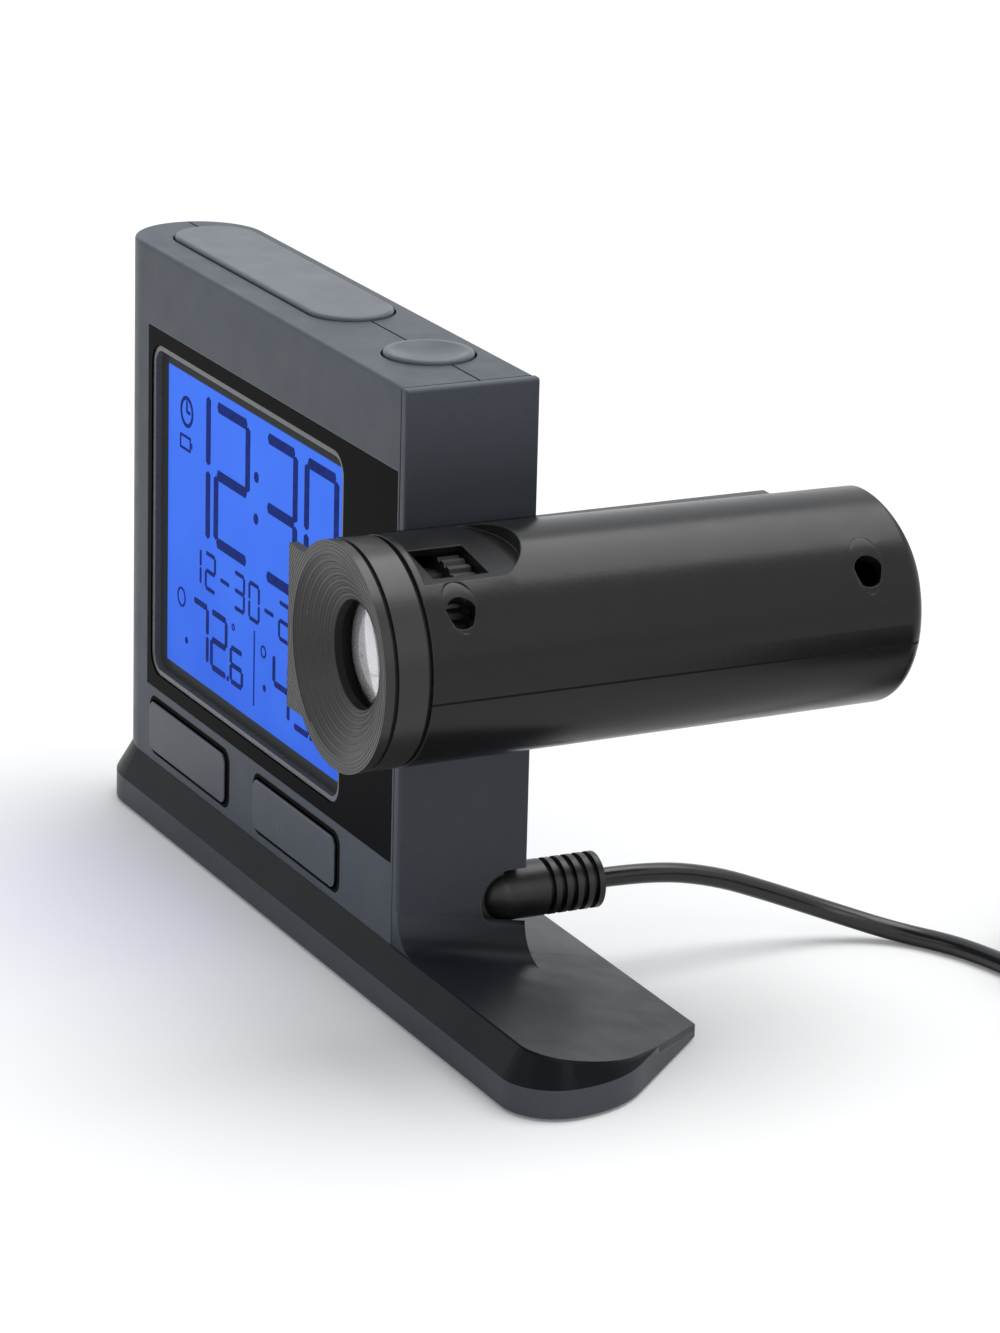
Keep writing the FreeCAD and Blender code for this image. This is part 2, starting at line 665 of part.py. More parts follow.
def build_foot():
    foot = foot_block()
    skin = foot_top_skin(foot)
    save("side_panel", side_panel(skin))
    foot = foot.cut(skin)
    panel_room = block(side_x - PANEL_THICKNESS, side_x, face_y, back_y, 0, HEIGHT)
    foot = foot.cut(panel_room.common(block(-far, far, -far, far, 0, HEIGHT)).cut(below_foot_top(FOOT_SKIN)))
    foot = foot.cut(pocket_block(POCKET_WALL, tray_depth))
    foot = foot.cut(foot_cavity()).cut(foot_plate_block(CAP_FIT))
    foot = foot.cut(pads())
    plate = foot_plate_block(0).cut(pads())
    plate = plate.cut(pocket_block(POCKET_WALL + SEAM_GAP, tray_depth + SEAM_GAP))
    screws = []
    for x, y in foot_screw_places():
        post_height = FOOT_CREASE_HEIGHT - (y - face_y) * foot_fall - FOOT_SKIN - WALL / 2
        start = at(x, y, PAD_HEIGHT + PAD_RECESS)
        plate_top = PAD_HEIGHT + FOOT_PLATE_THICKNESS
        post = rod(at(x, y, plate_top), Z, PILLAR_RADIUS, post_height - plate_top)
        foot = foot.fuse(post)
        length = post_height - start.z - WALL / 2
        screws.append(screw(start, Z, length))
        foot = foot.cut(rod(start, Z, SCREW_RADIUS, length))
        foot = foot.cut(rod(start, Z, SCREW_HEAD_RADIUS + CAP_FIT, SCREW_HEAD_HEIGHT))
        plate = plate.cut(rod(start, Z, SCREW_HEAD_RADIUS + CAP_FIT, SCREW_HEAD_HEIGHT))
    save("base_shell", foot)
    save("base_plate", plate)
    save("base_screws", Part.makeCompound(screws))
    save("foot_pads", pads())


# The display

def build_display():
    right = side_x - WINDOW_SIDE_MARGIN
    plate = block(window_left_x + CAP_FIT, right - CAP_FIT, face_y, face_y + WINDOW_THICKNESS,
                  window_bottom + CAP_FIT, window_top - CAP_FIT)
    centre = at(frame_centre_x, face_y - OVERRUN, frame_centre_z)
    hole = rounded_rectangle(centre, frame_width, frame_height, FRAME_CORNER, X, Z)
    save("display_window", plate.cut(hole.extrude(Y * (3 * OVERRUN))))
    start = at(frame_centre_x, face_y + FRAME_SINK, frame_centre_z)
    outer = rounded_rectangle(start, frame_width - 2 * CAP_FIT, frame_height - 2 * CAP_FIT,
                              FRAME_CORNER - CAP_FIT, X, Z)
    inner = rounded_rectangle(start, frame_width - 2 * FRAME_LINE, frame_height - 2 * FRAME_LINE,
                              FRAME_CORNER - FRAME_LINE, X, Z)
    depth = WINDOW_THICKNESS - FRAME_SINK
    save("lcd_frame", outer.extrude(Y * depth).cut(inner.extrude(Y * depth)))
    glass = rounded_rectangle(at(frame_centre_x, face_y + WINDOW_THICKNESS, frame_centre_z),
                              frame_width - 2 * GLASS_MARGIN, frame_height - 2 * GLASS_MARGIN,
                              FRAME_CORNER - GLASS_MARGIN, X, Z)
    save("lcd_glass", glass.extrude(Y * GLASS_THICKNESS))
    width = frame_width / 2 - BACKLIGHT_MARGIN
    height = frame_height / 2 - BACKLIGHT_MARGIN
    light_y = face_y + WINDOW_THICKNESS + GLASS_THICKNESS
    save("backlight", block(frame_centre_x - width, frame_centre_x + width, light_y,
                            light_y + BACKLIGHT_THICKNESS, frame_centre_z - height, frame_centre_z + height))
    strip_low = frame_centre_z + height + CAP_FIT
    strip_high = frame_centre_z + frame_height / 2 - GLASS_MARGIN
    save("lcd_connector", block(frame_centre_x - width, frame_centre_x + width, light_y, board_y,
                                strip_low, strip_high))
    board = block(end_x - end_radius / 2, side_x - tray_depth - SOCKET_WALL, board_y, board_back_y,
                  KEY_CENTRE_HEIGHT - SWITCH_SIZE / 2, HEIGHT - 2 * BOARD_EDGE)
    for x, height in pillar_places:
        board = board.cut(rod(at(x, board_y, height), Y, PILLAR_RADIUS + CAP_FIT,
                              BOARD_THICKNESS))
    save("main_board", board)


# The keys and their switches

def front_key(x):
    y = face_y - KEY_PROUD
    start = at(x, y, KEY_CENTRE_HEIGHT)
    back = FRONT_WALL + KEY_GAP + KEY_PROUD
    key = rounded_rectangle(start, key_width, KEY_HEIGHT, KEY_CORNER, X, Z).extrude(Y * back)
    front_edges = [e for e in key.Edges if e.BoundBox.YMax < y + EDGE_ROUND / 2]
    key = key.makeFillet(EDGE_ROUND / 2, front_edges)
    flange = rounded_rectangle(start + Y * back, key_width + 2 * KEY_FLANGE, KEY_HEIGHT + 2 * KEY_FLANGE,
                               KEY_CORNER + KEY_FLANGE, X, Z).extrude(Y * KEY_FLANGE_THICKNESS)
    return key.fuse(flange).removeSplitter()


key_back = FRONT_WALL + KEY_GAP + KEY_FLANGE_THICKNESS
top_flange_z = HEIGHT - WALL - KEY_GAP - KEY_FLANGE_THICKNESS
top_key_y = face_y + TOP_KEY_FROM_FRONT
inner_back_y = back_y - WALL - KEY_GAP


def snooze_bar():
    left = snooze_left_x
    right = snooze_right_x
    top = HEIGHT + SNOOZE_RISE
    low = top_flange_z + KEY_FLANGE_THICKNESS
    bar = stadium(left, right, top_key_y, low, SNOOZE_HALF_WIDTH).extrude(Z * (top - low))
    edges = [e for e in bar.Edges if e.BoundBox.ZMin > top - EDGE_ROUND]
    bar = bar.makeFillet(EDGE_ROUND, edges)
    flange = stadium(left - KEY_FLANGE, right + KEY_FLANGE, top_key_y, top_flange_z,
                     SNOOZE_HALF_WIDTH + KEY_FLANGE).extrude(Z * KEY_FLANGE_THICKNESS)
    flange = flange.common(block(-far, far, -far, inner_back_y, 0, HEIGHT))
    return bar.fuse(flange).removeSplitter()


def round_key():
    x = round_key_x
    top = HEIGHT + SNOOZE_RISE
    low = top_flange_z + KEY_FLANGE_THICKNESS
    key = rod(at(x, top_key_y, low), Z, ROUND_KEY_RADIUS, top - low)
    edges = [e for e in key.Edges if e.BoundBox.ZMin > top - EDGE_ROUND]
    key = key.makeFillet(EDGE_ROUND, edges)
    ball = Part.makeSphere(ROUND_KEY_DISH_RADIUS, at(x, top_key_y, top + ROUND_KEY_DISH_RADIUS
                                                     - ROUND_KEY_DISH_DEPTH))
    flange = rod(at(x, top_key_y, top_flange_z), Z, ROUND_KEY_RADIUS + KEY_FLANGE, KEY_FLANGE_THICKNESS)
    flange = flange.common(block(-far, far, -far, inner_back_y, 0, HEIGHT))
    return key.cut(ball).fuse(flange)


def build_keys():
    save("left_key", front_key(left_key_x))
    save("right_key", front_key(right_key_x))
    save("snooze_bar", snooze_bar())
    save("round_key", round_key())
    switches = []
    half = SWITCH_SIZE / 2
    for x in (left_key_x, right_key_x):
        body = block(x - half, x + half, board_y - SWITCH_BODY, board_y, KEY_CENTRE_HEIGHT - half,
                     KEY_CENTRE_HEIGHT + half)
        tip = face_y + key_back + KEY_TRAVEL + SEAM_GAP
        plunger = rod(at(x, tip, KEY_CENTRE_HEIGHT), Y, SWITCH_PLUNGER_RADIUS, board_y - tip)
        switches.append(body.fuse(plunger))
    middle = (snooze_left_x + snooze_right_x) / 2
    for x in (middle, round_key_x):
        tip = top_flange_z - KEY_TRAVEL - SEAM_GAP
        low = tip - TOP_SWITCH_HEIGHT
        body = block(x - half, x + half, board_back_y, board_back_y + TOP_SWITCH_DEPTH, low,
                     tip - WALL / 2)
        plunger = rod(at(x, board_back_y + TOP_SWITCH_DEPTH / 2, low), Z, SWITCH_PLUNGER_RADIUS,
                      TOP_SWITCH_HEIGHT)
        switches.append(body.fuse(plunger))
    save("key_switches", Part.makeCompound(switches))


# The battery bay and its door

def build_battery():
    y = (board_back_y + SEAM_GAP + back_y - WALL) / 2
    cells = []
    contacts = []
    springs = []
    for side in (-1, 1):
        z = BAY_CENTRE_HEIGHT + side * CELL_PITCH / 2
        start = bay_x - CELL_LENGTH / 2
        nose = start if side > 0 else start + CELL_LENGTH - CELL_NIPPLE_LENGTH
        can = start + CELL_NIPPLE_LENGTH if side > 0 else start
        cell = rod(at(can, y, z), X, CELL_RADIUS, CELL_LENGTH - CELL_NIPPLE_LENGTH)
        cells.append(cell.fuse(rod(at(nose, y, z), X, CELL_NIPPLE_RADIUS, CELL_NIPPLE_LENGTH)))
        spring_start = start + CELL_LENGTH if side > 0 else bay_x - bay_width / 2 + CONTACT_THICKNESS
        springs.append(tube(at(spring_start, y, z), X, SPRING_RADIUS, SPRING_RADIUS / 2,
                            BAY_END_ROOM - CONTACT_THICKNESS))
        for end in (-1, 1):
            x = bay_x + end * bay_width / 2
            contacts.append(block(min(x, x - end * CONTACT_THICKNESS), max(x, x - end * CONTACT_THICKNESS),
                                  y - CELL_RADIUS / 2, y + CELL_RADIUS / 2, z - CELL_RADIUS / 2,
                                  z + CELL_RADIUS / 2))
    save("battery_cells", Part.makeCompound(cells))
    save("battery_contacts", Part.makeCompound(contacts))
    save("battery_springs", Part.makeCompound(springs))
    door = bay_block(-DOOR_GAP, back_y - WALL, back_y)
    grip = rod(at(bay_x, back_y + CELL_RADIUS / 2, BAY_CENTRE_HEIGHT + bay_height / 2 - CELL_RADIUS), Z,
               CELL_RADIUS * DOOR_GRIP_SHARE, OVERRUN * 2)
    door = door.cut(grip)
    save("battery_door", door.fuse(door_pin_line(DOOR_PIN_RADIUS, 0).cut(bay_block(-WALL, -far, far))))


# The other inner pieces

def build_inner():
    x = left_x + BUZZER_FROM_LEFT
    start = at(x, back_y - WALL - BUZZER_HEIGHT, BAY_CENTRE_HEIGHT)
    buzzer = rod(start, Y, BUZZER_RADIUS, BUZZER_HEIGHT)
    save("buzzer", buzzer.cut(rod(start, Y, BUZZER_RADIUS / 5, BUZZER_HEIGHT / 2)))
    rod_start = at(rod_x - ROD_LENGTH / 2, rod_y, rod_z)
    save("antenna_rod", rod(rod_start, X, ROD_RADIUS, ROD_LENGTH))
    winding = at(rod_x - ROD_WINDING_LENGTH / 2, rod_y, rod_z)
    save("antenna_winding", tube(winding, X, ROD_WINDING_RADIUS, ROD_RADIUS, ROD_WINDING_LENGTH))
    screws = []
    for x, height in pillar_places:
        head = at(x, back_y, height)
        screws.append(screw(head, Y * -1, BODY_DEPTH - FRONT_HALF_DEPTH + OVERRUN - WALL))
    save("case_screws", Part.makeCompound(screws))


# The supply plug and its socket

def build_plug():
    centre = at(plug_x, plug_front_y, PLUG_CENTRE_HEIGHT)
    ball = Part.makeSphere(PLUG_RADIUS, centre + Y * PLUG_RADIUS)
    body = ball.fuse(rod(centre + Y * PLUG_RADIUS, Y, PLUG_RADIUS, PLUG_HEAD_LENGTH - PLUG_RADIUS))
    pitch = PLUG_RIB_LENGTH / PLUG_RIBS
    core_start = centre + Y * PLUG_HEAD_LENGTH
    body = body.fuse(rod(core_start, Y, PLUG_RADIUS - PLUG_RIB_SINK, PLUG_RIB_LENGTH))
    for n in range(PLUG_RIBS):
        body = body.fuse(rod(core_start + Y * ((n + 0.5) * pitch), Y, PLUG_RADIUS, pitch / 2))
    tip_y = plug_front_y + PLUG_TIP_FROM_FRONT
    boss_x = pocket_floor_x + POCKET_CLEARANCE / 2
    tip_start = at(boss_x, tip_y, PLUG_CENTRE_HEIGHT)
    tip_length = PLUG_TIP_LENGTH + POCKET_CLEARANCE / 2
    boss = rod(tip_start, X, PLUG_TIP_RADIUS, PLUG_RADIUS)
    body = body.fuse(boss)
    save("dc_plug", body)
    tip = tube(tip_start - X * tip_length, X, PLUG_TIP_RADIUS, PLUG_TIP_BORE, tip_length)
    save("dc_plug_tip", tip)
    socket_x = pocket_floor_x - POCKET_WALL
    half = PLUG_TIP_RADIUS + SOCKET_GAP + SOCKET_WALL
    length = PLUG_TIP_LENGTH - POCKET_WALL + SOCKET_WALL + SEAM_GAP
    socket_back = back_y - WALL - CAP_FIT
    socket = block(socket_x - length, socket_x, tip_y - half, socket_back, PLUG_CENTRE_HEIGHT - half,
                   PLUG_CENTRE_HEIGHT + half)
    bore = rod(at(socket_x - length + SOCKET_WALL, tip_y, PLUG_CENTRE_HEIGHT), X,
               PLUG_TIP_RADIUS + SOCKET_GAP, length)
    pin = rod(at(socket_x - length, tip_y, PLUG_CENTRE_HEIGHT), X, SOCKET_PIN_RADIUS, length - SEAM_GAP)
    save("dc_socket", socket.cut(bore).fuse(pin))


# The pivot between case and arm

def build_pivot():
    axis = at(0, pivot_y, ARM_PIVOT_HEIGHT)
    bush_inner = SHAFT_RADIUS + SHAFT_FIT
    bush = tube(axis + X * (side_x - BUSH_LENGTH), X, SHAFT_RADIUS + BUSH_WALL, bush_inner, BUSH_LENGTH)
    flange = tube(axis + X * side_x, X, BUSH_FLANGE_RADIUS, bush_inner, BUSH_FLANGE_THICKNESS)
    save("pivot_bush", bush.fuse(flange))
    end = web_x + ARM_WALL
    start = side_x - SHAFT_INNER_END
    shaft = tube(axis + X * start, X, SHAFT_RADIUS, SHAFT_BORE, end - start)
    head = tube(axis + X * end, X, SHAFT_HEAD_RADIUS, SHAFT_BORE, SHAFT_HEAD_THICKNESS)
    save("pivot_shaft", shaft.fuse(head))
    washer_start = side_x - BUSH_LENGTH - PIVOT_PLAY - SPRING_WASHER_THICKNESS
    save("friction_washer", tube(axis + X * washer_start, X, NUT_RADIUS, SHAFT_RADIUS,
                                 SPRING_WASHER_THICKNESS))
    nut_start = washer_start - NUT_THICKNESS
    corners = []
    for n in range(6):
        turn = math.radians(60 * n)
        corners.append(axis + X * nut_start + at(0, math.cos(turn), math.sin(turn)) * NUT_RADIUS)
    nut = polygon(corners).extrude(X * NUT_THICKNESS)
    save("pivot_nut", nut.cut(rod(axis + X * nut_start, X, SHAFT_RADIUS, NUT_THICKNESS)))


# The arm

def on_arm(s, across=0, up=0):
    """A point on the arm: s behind the lens face, across to the right and up from its axis."""
    return at(arm_x + across, arm_front_y + s, ARM_PIVOT_HEIGHT + up)


def arm_radius_at(s):
    return ARM_RADIUS - (ARM_RADIUS - ARM_TAIL_RADIUS) * s / arm_length


def arm_solid(start, shrink, front_only=False):
    """The arm's outer form, shrunk by a wall: a slightly tapered round, its tail and its flat web."""
    end = arm_length - shrink
    r0 = arm_radius_at(start) - shrink
    r1 = arm_radius_at(end) - shrink
    bend = max(ARM_TAIL_ROUND - shrink, ARM_TAIL_ROUND / 4)
    edges = [line(on_arm(start), on_arm(start, r0)), line(on_arm(start, r0), on_arm(end - bend, r1)),
             arc(on_arm(end - bend, r1 - bend), bend, 0, 90),
             line(on_arm(end, r1 - bend), on_arm(end)),
             line(on_arm(end), on_arm(start))]
    body = turned(face_of(edges), on_arm(0), Y)
    web_half = ARM_WEB_HALF - shrink
    web_end_y = arm_front_y + arm_length - ARM_WEB_END_BACK - shrink
    web = block(web_x + shrink, arm_x, arm_front_y + start, web_end_y,
                ARM_PIVOT_HEIGHT - web_half, ARM_PIVOT_HEIGHT + web_half)
    swing = rod(at(-far, pivot_y, ARM_PIVOT_HEIGHT), X, TAIL_REACH - shrink, 2 * far)
    return body.fuse(web).common(swing)


def facet_turned(shape):
    shape.rotate(on_arm(0), Y, 90 - FACET_TURN)
    return shape


def facet_cutter(distance, end_extra):
    half = FACET_HALF_WIDTH
    middle = FACET_END + end_extra - half
    centre = on_arm(middle, 0, distance)
    face = face_of([arc(centre, half, 0, 180), line(centre + X * half, on_arm(0, half, distance)),
                    line(on_arm(0, half, distance), on_arm(0, -half, distance)),
                    line(on_arm(0, -half, distance), centre - X * half)])
    return facet_turned(face.extrude(Z * ARM_RADIUS))


def focus_window():
    half = FOCUS_WINDOW_WIDTH / 2
    low = on_arm(FOCUS_WINDOW_START, FOCUS_WINDOW_SHIFT - half, FACET_DISTANCE / 2)
    high = on_arm(FOCUS_WINDOW_START + FOCUS_WINDOW_LENGTH, FOCUS_WINDOW_SHIFT + half, ARM_RADIUS * 2)
    return facet_turned(block(low.x, high.x, low.y, high.y, low.z, high.z))


def ring_rib(s, thickness, inner):
    return tube(on_arm(s), Y, arm_radius_at(s) - ARM_WALL / 2, inner, thickness)


arm_screw_places = (ARM_SCREW_NEAR, arm_length - ARM_SCREW_FAR_BACK)


def arm_shells():
    outer = arm_solid(CAP_LENGTH, 0)
    facet = facet_cutter(FACET_DISTANCE, 0).common(block(-far, far, arm_front_y + FACET_START, far, 0, far))
    outer = outer.cut(facet)
    inner = arm_solid(CAP_LENGTH - WALL, ARM_WALL).cut(facet_cutter(FACET_DISTANCE - FACET_WALL, ARM_WALL))
    shell = outer.cut(inner)
    wheel_end = WHEEL_START + WHEEL_LENGTH
    ribs = [(WHEEL_HUB_START - SEAM_GAP - RIB_THICKNESS, BARREL_RADIUS + BARREL_CLEARANCE),
            (wheel_end + SEAM_GAP, BARREL_RADIUS + BARREL_CLEARANCE),
            (OPTIC_START + RIB_THICKNESS, OPTIC_RADIUS + CAP_FIT),
            (OPTIC_START + OPTIC_LENGTH - 2 * RIB_THICKNESS, OPTIC_RADIUS + CAP_FIT)]
    for s, bore in ribs:
        rib = ring_rib(s, RIB_THICKNESS, bore)
        shell = shell.fuse(rib.cut(facet_cutter(FACET_DISTANCE - FACET_WALL / 2, 0)))
    boss_radius = SCREW_RADIUS + ARM_BOSS_WALL
    for s in arm_screw_places:
        bottom = on_arm(s, ARM_SCREW_OFFSET, -ARM_RADIUS)
        boss = rod(bottom, Z, boss_radius, 2 * ARM_RADIUS)
        shell = shell.fuse(boss.common(arm_solid(CAP_LENGTH, ARM_WALL / 2)))
    shell = shell.cut(rod(on_arm(WHEEL_HUB_START - SEAM_GAP), Y, WHEEL_HUB_RADIUS + SEAM_GAP,
                          WHEEL_START - WHEEL_HUB_START + SEAM_GAP))
    shell = shell.cut(focus_window())
    for s in arm_screw_places:
        floor = on_arm(s, ARM_SCREW_OFFSET, ARM_WELL_FLOOR)
        shell = shell.cut(rod(floor, Z, ARM_WELL_RADIUS, ARM_RADIUS))
        shell = shell.cut(rod(on_arm(s, ARM_SCREW_OFFSET, -ARM_PART_DROP - ARM_BOSS_WALL * 4), Z,
                              SCREW_RADIUS, ARM_RADIUS))
    hole = at(side_x - OVERRUN, pivot_y, ARM_PIVOT_HEIGHT)
    shell = shell.cut(rod(hole, X, SHAFT_RADIUS, OVERRUN + ARM_GAP + ARM_WALL + SEAM_GAP))
    upper = shell.common(block(-far, far, -far, far, arm_part_z, far))
    lower = shell.common(block(-far, far, -far, far, 0, arm_part_z))
    return upper, lower


def lens_cap():
    """Front ring: D-shaped rim, two grooves, ribbed conical dish, and a spigot into the shells."""
    r = ARM_RADIUS
    low = r - CAP_GROOVE_DEPTH
    spigot = arm_radius_at(CAP_LENGTH) - ARM_WALL - CAP_FIT
    bore = BARREL_RADIUS + BARREL_CLEARANCE
    rim = r - CAP_RIM
    points = [(0, r), (CAP_FLANGE, r), (CAP_FLANGE, low), (CAP_FLANGE + CAP_GROOVE, low),
              (CAP_FLANGE + CAP_GROOVE, r - CAP_FIT), (CAP_LENGTH - CAP_GROOVE, r - CAP_FIT),
              (CAP_LENGTH - CAP_GROOVE, low), (CAP_LENGTH, low), (CAP_LENGTH, spigot),
              (CAP_LENGTH + CAP_SPIGOT, spigot), (CAP_LENGTH + CAP_SPIGOT, bore),
              (DISH_DEPTH + CAP_FRONT_WALL, bore), (DISH_DEPTH + CAP_FRONT_WALL, CAP_OPENING),
              (DISH_DEPTH, CAP_OPENING)]
    step = (rim - CAP_OPENING) / DISH_RIBS
    fall = DISH_DEPTH / DISH_RIBS
    for n in range(DISH_RIBS):
        radius = CAP_OPENING + (n + 1) * step
        depth = DISH_DEPTH - (n + 1) * fall
        points.append((depth + fall - DISH_RIB_RISE, radius - step / 2))
        points.append((depth, radius))
    profile = polygon([on_arm(s, radius) for s, radius in points])
    ring = turned(profile, on_arm(0), Y)
    corner = block(web_x, arm_x, arm_front_y, arm_front_y + CAP_FLANGE, ARM_PIVOT_HEIGHT - ARM_WEB_HALF,
                   ARM_PIVOT_HEIGHT + ARM_WEB_HALF)
    neck = block(web_x + CAP_GROOVE_DEPTH, arm_x, arm_front_y + CAP_FLANGE, arm_front_y + CAP_LENGTH,
                 ARM_PIVOT_HEIGHT - ARM_WEB_HALF + CAP_GROOVE_DEPTH,
                 ARM_PIVOT_HEIGHT + ARM_WEB_HALF - CAP_GROOVE_DEPTH)
    core = rod(on_arm(-OVERRUN), Y, low - WALL / 2, arm_length)
    behind = block(-far, far, arm_front_y + CAP_LENGTH, far, 0, far)
    flat = facet_cutter(FACET_DISTANCE - FACET_WALL, 0).common(behind)
    return ring.fuse(corner.fuse(neck).cut(core)).cut(flat)


def lens_shape(start, radius, edge, front_crown, back_crown):
    def bulge(s, rise):
        middle_radius = radius / math.sqrt(2)
        sphere = (radius ** 2 + rise ** 2) / (2 * abs(rise))
        depth = math.sqrt(sphere ** 2 - middle_radius ** 2) - (sphere - abs(rise))
        return on_arm(s + math.copysign(depth, rise), middle_radius)
    edges = [line(on_arm(start - front_crown), on_arm(start + edge + back_crown)),
             line(on_arm(start, radius), on_arm(start + edge, radius)),
             Part.Arc(on_arm(start - front_crown), bulge(start, -front_crown),
                      on_arm(start, radius)).toShape()]
    if back_crown:
        edges.append(Part.Arc(on_arm(start + edge + back_crown), bulge(start + edge, back_crown),
                              on_arm(start + edge, radius)).toShape())
    else:
        edges.append(line(on_arm(start + edge, radius), on_arm(start + edge)))
    return turned(face_of(edges), on_arm(0), Y)


RIDGE_SHARES = (0.0, 0.4, 0.6, 0.8)


def ridged_disc(start, length, radius):
    low = radius - WHEEL_RIDGE_DEPTH
    outline = []
    for n in range(WHEEL_RIDGES):
        for share, reach in zip(RIDGE_SHARES, (radius, radius, low, low)):
            turn = math.radians((n + share) * 360 / WHEEL_RIDGES)
            outline.append(on_arm(start, reach * math.cos(turn), reach * math.sin(turn)))
    return polygon(outline).extrude(Y * length)


def focus_wheel():
    """Stepped wheel: its narrow hub clears the near screw, its wide rim reaches the finger window."""
    hub = ridged_disc(WHEEL_HUB_START, WHEEL_START - WHEEL_HUB_START, WHEEL_HUB_RADIUS)
    rim = ridged_disc(WHEEL_START, WHEEL_LENGTH, WHEEL_RADIUS)
    return hub.fuse(rim).cut(rod(on_arm(0), Y, BARREL_RADIUS + BARREL_CLEARANCE, arm_length))


def build_arm():
    upper, lower = arm_shells()
    save("arm_upper_shell", upper)
    save("arm_lower_shell", lower)
    save("lens_cap", lens_cap())
    save("projection_lens", lens_shape(BARREL_START, LENS_RADIUS, LENS_EDGE, LENS_CROWN, 0))
    barrel = tube(on_arm(BARREL_START), Y, BARREL_RADIUS, BARREL_RADIUS - BARREL_WALL, BARREL_LENGTH)
    save("lens_barrel", barrel.cut(rod(on_arm(0), Y, LENS_RADIUS, BARREL_START + LENS_EDGE)))
    save("focus_wheel", focus_wheel())
    inner = OPTIC_RADIUS - OPTIC_WALL
    save("optics_tube", tube(on_arm(OPTIC_START), Y, OPTIC_RADIUS, inner, OPTIC_LENGTH))
    half = IMAGE_PLATE_SIZE / 2
    plate = block(arm_x - half, arm_x + half, arm_front_y + IMAGE_PLATE_START,
                  arm_front_y + IMAGE_PLATE_START + IMAGE_PLATE_THICKNESS, ARM_PIVOT_HEIGHT - half,
                  ARM_PIVOT_HEIGHT + half)
    save("image_plate", plate)
    holder_start = on_arm(IMAGE_PLATE_START)
    holder = rod(holder_start, Y, inner - CAP_FIT, IMAGE_PLATE_THICKNESS).cut(plate)
    save("image_holder", holder)
    save("condenser_lens", lens_shape(CONDENSER_START, inner - CAP_FIT, CONDENSER_EDGE, CONDENSER_CROWN,
                                      CONDENSER_CROWN))
    board_s = OPTIC_START + OPTIC_LENGTH - LED_BOARD_THICKNESS
    save("led_board", rod(on_arm(board_s), Y, inner - CAP_FIT, LED_BOARD_THICKNESS))
    stem = rod(on_arm(board_s - LED_LENGTH + LED_RADIUS), Y, LED_RADIUS, LED_LENGTH - LED_RADIUS)
    save("led", stem.fuse(Part.makeSphere(LED_RADIUS, on_arm(board_s - LED_LENGTH + LED_RADIUS))))
    screws = [screw(on_arm(s, ARM_SCREW_OFFSET, ARM_WELL_FLOOR + SCREW_HEAD_HEIGHT), Z * -1,
                    ARM_WELL_FLOOR + ARM_PART_DROP + SCREW_HEAD_HEIGHT + ARM_BOSS_WALL * 3)
              for s in arm_screw_places]
    save("arm_screws", Part.makeCompound(screws))


# The cord, its put-away coil and the wall adapter

def cord_points():
    """Route of the lead from the plug to the coil, chosen by hand."""
    z = PLUG_CENTRE_HEIGHT
    return [at(plug_x, plug_end_y, z), at(plug_x, plug_end_y + 9.4, z), at(27.5, 37.6, 11.9),
            at(28.4, 47.2, 8.2), at(30.0, 56.8, 4.3), at(34.6, 65.3, cord_radius),
            at(42.6, 70.6, cord_radius), at(51.6, 73.4, cord_radius)]


def route_edges(points):
    """Straight runs joined by tangent arcs; prints each arc's radius."""
    edges = []
    start = points[0]
    for before, corner, after in zip(points, points[1:], points[2:]):
        a = before - corner
        b = after - corner
        run = min(a.Length, b.Length)
        turn = math.pi - a.getAngle(b)
        back = CORD_BEND_SHARE * run
        radius = back / math.tan(turn / 2)
        print("cord arc radius %.1f" % radius)
        a.normalize()
        b.normalize()
        first = corner + a * back
        last = corner + b * back
        bisector = (a + b).normalize()
        middle = corner + bisector * (math.hypot(radius, back) - radius)
        edges.append(line(start, first))
        edges.append(Part.Arc(first, middle, last).toShape())
        start = last
    edges.append(line(start, points[-1]))
    return edges


def swept(edges, start, direction):
    profile = Part.Wire([Part.makeCircle(cord_radius, start, direction)])
    return Part.Wire(edges).makePipeShell([profile], True, False)


def mid_arc(start, tangent, end):
    chord = end - start
    along = FreeCAD.Vector(chord).normalize()
    off = tangent - along * tangent.dot(along)
    middle = start + chord * 0.5
    if off.Length < 1e-6:
        return line(start, end)
    angle = tangent.getAngle(chord)
    middle = middle + off.normalize() * (chord.Length / 2 * math.tan(angle / 2))
    return Part.Arc(start, middle, end).toShape()


def biarc(p0, t0, p1, t1):
    v = p1 - p0
    t = t0 + t1
    a = 2 * (1 - t0.dot(t1))
    b = 2 * v.dot(t)
    c = -v.dot(v)
    d = (-b + math.sqrt(b * b - 4 * a * c)) / (2 * a) if a > 1e-9 else -c / b
    joint = (p0 + p1 + (t0 - t1) * d) * 0.5
    first = mid_arc(p0, t0, joint)
    back = mid_arc(p1, t1 * -1, joint)
    second = Part.Arc(joint, back.valueAt((back.FirstParameter + back.LastParameter) / 2), p1).toShape()
    return [first, second]


coil_mean_radius = COIL_MEAN_DIAMETERS * CORD_DIAMETER / 2
coil_outer_radius = coil_mean_radius + COIL_PITCH * COIL_OUTER_TURNS

